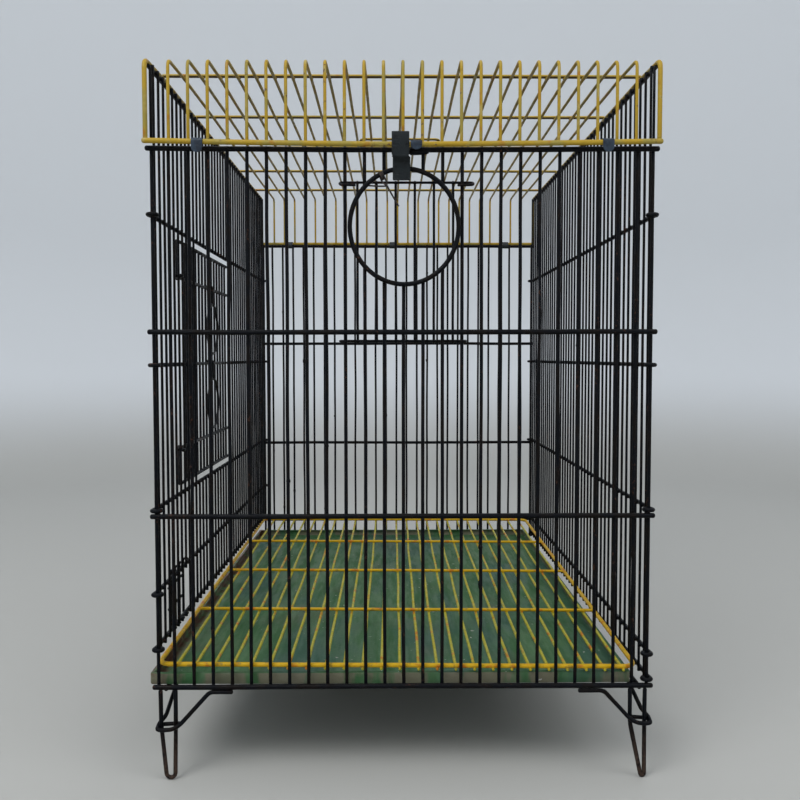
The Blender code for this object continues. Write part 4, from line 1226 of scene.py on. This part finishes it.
def buildBrace(sideName, end):
    # runs under the bottom bar, down round the leg and up under the side rail
    work = newWork()
    this, side, plane, bar, outer, inner, foot, rest = legLines(sideName, end)
    inward = 1 if end == "front" else -1
    wire = base["brace"]
    under = bar - cage["bar"] - cage["gap"] - wire
    loop = cage["floorLine"] - this["drop"]
    share = (this["drop"] - cage["bar"] - cage["gap"]) / (base["legsLow"] - rest)
    outerThere = outer + (foot + this["bend"] - outer) * share
    innerThere = inner + (foot - this["bend"] - inner) * share
    wrap = base["leg"] + 2 * cage["gap"] + wire
    railX = cage["halfWidth"] - base["railInset"]
    railUnder = base["railHeight"] - base["rail"] - cage["gap"] - wire
    bendX = cage["halfWidth"] - this["turn"]
    around = [(bendX - this["foot"], 0.0, under), (bendX, 0.0, under),
              (innerThere - wrap, -wrap * 0.7, loop + base["braceRise"]), (innerThere + 0.002, -wrap, loop),
              (outerThere, -wrap, loop - 0.0006), (outerThere + wrap, -wrap, loop),
              (outerThere + wrap, wrap, loop + 0.003), (outerThere - 0.001, wrap + wire, loop + 0.0085),
              (railX, base["braceSide"] * 0.9, railUnder - 0.001), (railX, base["braceSide"], railUnder)]
    behind = [(outerThere + wrap * 0.9, 0.0, loop + 0.0008), (outerThere + wrap * 0.8, wrap, loop + 0.0012),
              (innerThere - wrap * 0.8, wrap, loop + 0.0022), (innerThere - wrap * 0.9, 0.0, loop + 0.0034)]
    for corners in (around, behind):
        route = [(cage["middle"] + side * x, plane + inward * y, z) for x, y, z in bent(corners, 0.0042, 5)]
        addTube(work, route, wire, sides=12, lumpy=0.09)
    name = f"brace{end.title()}{sideName.title()}"
    return finishBlack(name, work, "base", f"brace_{end}_{sideName}", "feet")


buildRail("leftBaseRail", "left_base_rail", -1)
buildRail("rightBaseRail", "right_base_rail", 1)
for sideName, end in feet:
    buildLeg(sideName, end)
    buildBrace(sideName, end)
print("cage: base, legs and braces bent")


# Tray: a sheet pan with its rim folded inwards
tray = {
    "depth": 0.0108,
    "sheet": 0.0011,
    "rim": 0.0040,
    "left": 0.0100,
    "right": 0.0136,
    "skew": 0.0032,         # the back right corner lies this much further right
    "endGap": 0.0044,
    "corner": 0.0030,
    "buckle": 0.0005,       # how far the sheet waves up and down
}
tray["low"] = base["railHeight"] + base["rail"] + cage["gap"]
tray["high"] = tray["low"] + tray["depth"]


def shares(point):
    # how far right and how far back a point lies, from 0 to 1
    rightward = (point.x - wallX(-1)) / (2 * cage["halfWidth"])
    backward = (point.y - cage["front"]) / (cage["back"] - cage["front"])
    return min(1.0, max(0.0, rightward)), min(1.0, max(0.0, backward))


def roundedLoop(corners, radius, height, steps):
    # for each corner, given by its centre and first angle: its arc, and where the next arc starts
    arcs = [[Vector((x + across, y + along, height)) for across, along in circle(radius, start, 90, steps)]
            for (x, y), start in corners]
    return zip(arcs, [arc[0] for arc in arcs[1:] + arcs[:1]])


def panRing(inset, height, columns, rows):
    # once round the pan at this inset, corners rounded, the same number of points on every ring
    left = wallX(-1, tray["left"]) + inset
    right = wallX(1, -tray["right"]) - inset
    near = cage["front"] + cage["upright"] + tray["endGap"] + inset
    corner = max(tray["corner"] - inset, 0.0002)
    corners = [((left + corner, near + corner), 180), ((right - corner, near + corner), 270),
               ((right - corner, -near - corner), 0), ((left + corner, -near - corner), 90)]
    ring = []
    for number, (arc, target) in enumerate(roundedLoop(corners, corner, height, 4)):
        count = rows if number % 2 else columns
        ring.extend(arc)
        ring.extend(arc[-1].lerp(target, step / count) for step in range(1, count))
    return ring


def buildTray():
    work = newWork()
    low, high, sheet = tray["low"], tray["high"], tray["sheet"]
    columns, rows = 24, 36
    rim, under = tray["rim"], high - sheet
    profile = [(0.0006, low), (0.0, low + 0.0008), (0.0, high - 0.0010), (0.0003, high - 0.0003),
               (0.0009, high), (rim - 0.0004, high), (rim, high - sheet * 0.5), (rim - 0.0004, under),
               (sheet + 0.0004, under), (sheet, under - 0.0004), (sheet, low + sheet + 0.0006),
               (sheet + 0.0006, low + sheet)]
    rings = [panRing(inset, height, columns, rows) for inset, height in profile]
    for number in (2, 3, 4, 5, 6, 7):
        for point in rings[number]:
            point.z += tray["buckle"] * min(0.0, noise.noise(point * 24))
    first, last, steps, faces = addRings(work, [ring[::-1] for ring in rings])
    keepFaces(work, faces + [lid(first, steps, True)])
    addTrayFloor(work, last, steps)
    for point in work["points"]:
        rightward, backward = shares(point)
        point.x += tray["skew"] * rightward * backward
    return finishPiece("floorTray", work, [paints["tray"]], "tray", ["floor_tray"], 50)


def addTrayFloor(work, last, steps):
    # the floor inside, as smaller and smaller rings that carry its slight waves
    edge = [work["points"][last + step].copy() for step in range(steps)]
    centre = sum(edge, Vector()) / steps
    before = last
    faces = []
    for share in (0.985, 0.93, 0.84, 0.72, 0.58, 0.42, 0.25):
        start = len(work["points"])
        for point in edge:
            place = centre.lerp(point, share)
            place.z += tray["buckle"] * (0.3 + 0.7 * noise.noise(place * 15)) * (1 - share) ** 0.5
            work["points"].append(place)
        faces += joined(before, start, steps)
        before = start
    keepFaces(work, faces + [lid(before, steps)])


# Grid that lies on the tray's rim
grid = {
    "frame": 0.0022,
    "wire": 0.0015,
    "cross": 0.0018,
    "left": 0.0015,
    "right": 0.0088,
    "corner": 0.0120,
    "wires": 25,
    "shift": -0.0030,
    "crossWires": 3,
    "inset": 0.0050,
    "leftLift": 0.0042,     # the left side lies this much higher than the right at the front
    "backLift": 0.0098,     # the back end is propped up
    "sway": 0.0012,
    "crossSway": 0.0010,
    "frameWeld": (0.0021, 0.0023, 0.0016),
    "weld": (0.0018, 0.0019, 0.0011),
}


def buildGrid():
    work = newWork()
    lower = tray["high"] + grid["leftLift"] + cage["gap"] + grid["wire"]
    height = lower + (grid["frame"] + grid["wire"]) * cage["pressed"]
    left = wallX(-1, grid["left"])
    right = wallX(1, -grid["right"])
    near = cage["front"] + grid["inset"]
    turn = grid["corner"]
    corners = [((right - turn, near + turn), -90), ((right - turn, -near - turn), 0),
               ((left + turn, -near - turn), 90), ((left + turn, near + turn), 180)]
    route = []
    for number, (arc, target) in enumerate(roundedLoop(corners, turn, height, 8)):
        across = (0, 1, 0) if number % 2 else (1, 0, 0)
        route.extend(arc)
        route.extend(swayed(arc[-1], target, 950 + number, 0.0008, across, 0.035)[1:-1])
    addTube(work, route, grid["frame"], closed=True, sides=12)
    upper = lower + grid["wire"] + cage["gap"] + grid["cross"]
    span = -2 * near / (grid["crossWires"] + 1)
    crossPlaces = [near + span * number for number in range(1, grid["crossWires"] + 1)]
    for number, y in enumerate(crossPlaces):
        addTube(work, swayed((left, y, upper), (right, y, upper), 960 + number, grid["crossSway"], (0, 1, 0)),
                grid["cross"])
    places = [cage["middle"] + grid["shift"] + cage["pitch"] * (number - (grid["wires"] - 1) / 2)
              for number in range(grid["wires"])]
    for number, x in enumerate(places):
        work["mark"] = 1
        addTube(work, swayed((x, near - cage["tip"], lower), (x, -near + cage["tip"], lower), 970 + number,
                             grid["sway"], (1, 0, 0), 0.03), grid["wire"])
        work["mark"] = 0
        for y in (near, -near):
            addLump(work, (x, y, height - grid["frame"] * 0.75), grid["frameWeld"], 7)
        for y in crossPlaces:
            addLump(work, (x, y, upper - grid["cross"] * 0.9), grid["weld"], 7)
    for point in work["points"]:
        rightward, backward = shares(point)
        point.z += grid["backLift"] * backward - grid["leftLift"] * rightward * (1 - 0.4 * backward)
    return finishPiece("floorGrid", work, [paints["grid"], paints["gridLong"]], "grid", ["floor_grid"])


buildTray()
buildGrid()
print("cage: tray and grid laid")


# Studio: pale floor that curves up into a wall all round, soft lamps and the camera
studio = {
    "radius": 2.7,
    "cove": 0.9,
    "height": 3.2,
    "inner": 0.25,          # first ring of the floor
    "fade": 0.35,           # height at which the floor's tone has become the wall's
    "floorTone": (0.44, 0.44, 0.42),
    "wallTone": (0.68, 0.705, 0.73),
    "sky": 0.95,
    "camera": (-0.00405, -1.1668, 0.3952),
    "pitch": 0.0484,        # radians below the horizon
    "yaw": 0.0095,          # toward +x
    "roll": -0.0008,
    "lens": 39.72,
    "skyColour": (0.93, 0.96, 1.0, 1),
    "aim": (0, 0, 0.35),    # what the lamps point at
    # place, size and power
    "lamps": {"keyLamp": ((-1.1, -1.7, 2.3), 1.4, 34), "fillLamp": ((1.5, -1.4, 1.6), 1.6, 12)},
}


def buildBackdrop():
    paint = startPaint("backdropPaper", studio["floorTone"], 0.9, specular=0.1)
    paper = lay(paint, lying(paint, 2, 0.0, studio["fade"]), studio["wallTone"])
    paint["tree"].links.new(paper, paint["shader"].inputs["Base Color"])
    work = newWork()
    flat = studio["radius"] - studio["cove"]
    profile = [(studio["inner"], 0.0), (flat * 0.5, 0.0), (flat, 0.0)]
    profile += [(flat + out, studio["cove"] + up) for out, up in circle(studio["cove"], -90, 90, 14)][1:]
    profile.append((studio["radius"], studio["height"]))
    rings = [[Vector((x, y, height)) for x, y in circle(radius, 0, 360, 72)[:-1]]
             for radius, height in profile]
    first, _, steps, faces = addRings(work, rings)
    keepFaces(work, [face[::-1] for face in faces] + [lid(first, steps)])
    newObject("backdrop", work["points"], work["faces"], [paint["material"]])


def addLamp(name, place, size, power):
    data = bpy.data.lights.new(name, "AREA")
    data.shape = "DISK"
    data.size = size
    data.energy = power
    lamp = bpy.data.objects.new(name, data)
    bpy.context.collection.objects.link(lamp)
    lamp.location = place
    lamp.rotation_euler = (Vector(studio["aim"]) - Vector(place)).to_track_quat("-Z", "Y").to_euler()


def buildStudio():
    buildBackdrop()
    world = bpy.data.worlds.new("softSky")
    bpy.context.scene.world = world
    world.use_nodes = True
    background = world.node_tree.nodes["Background"]
    background.inputs["Color"].default_value = studio["skyColour"]
    background.inputs["Strength"].default_value = studio["sky"]
    for name, (place, size, power) in studio["lamps"].items():
        addLamp(name, place, size, power)
    data = bpy.data.cameras.new("camera")
    data.lens = studio["lens"]
    data.sensor_width = 36
    camera = bpy.data.objects.new("camera", data)
    bpy.context.collection.objects.link(camera)
    look = Matrix.Rotation(-studio["yaw"], 4, "Z") @ Matrix.Rotation(math.pi / 2 - studio["pitch"], 4, "X")
    aimed = Matrix.Translation(studio["camera"]) @ look
    camera.matrix_world = aimed @ Matrix.Rotation(studio["roll"], 4, "Z")
    bpy.context.scene.camera = camera
    bpy.context.scene.view_settings.view_transform = "Standard"


buildStudio()
print("cage: studio lit")
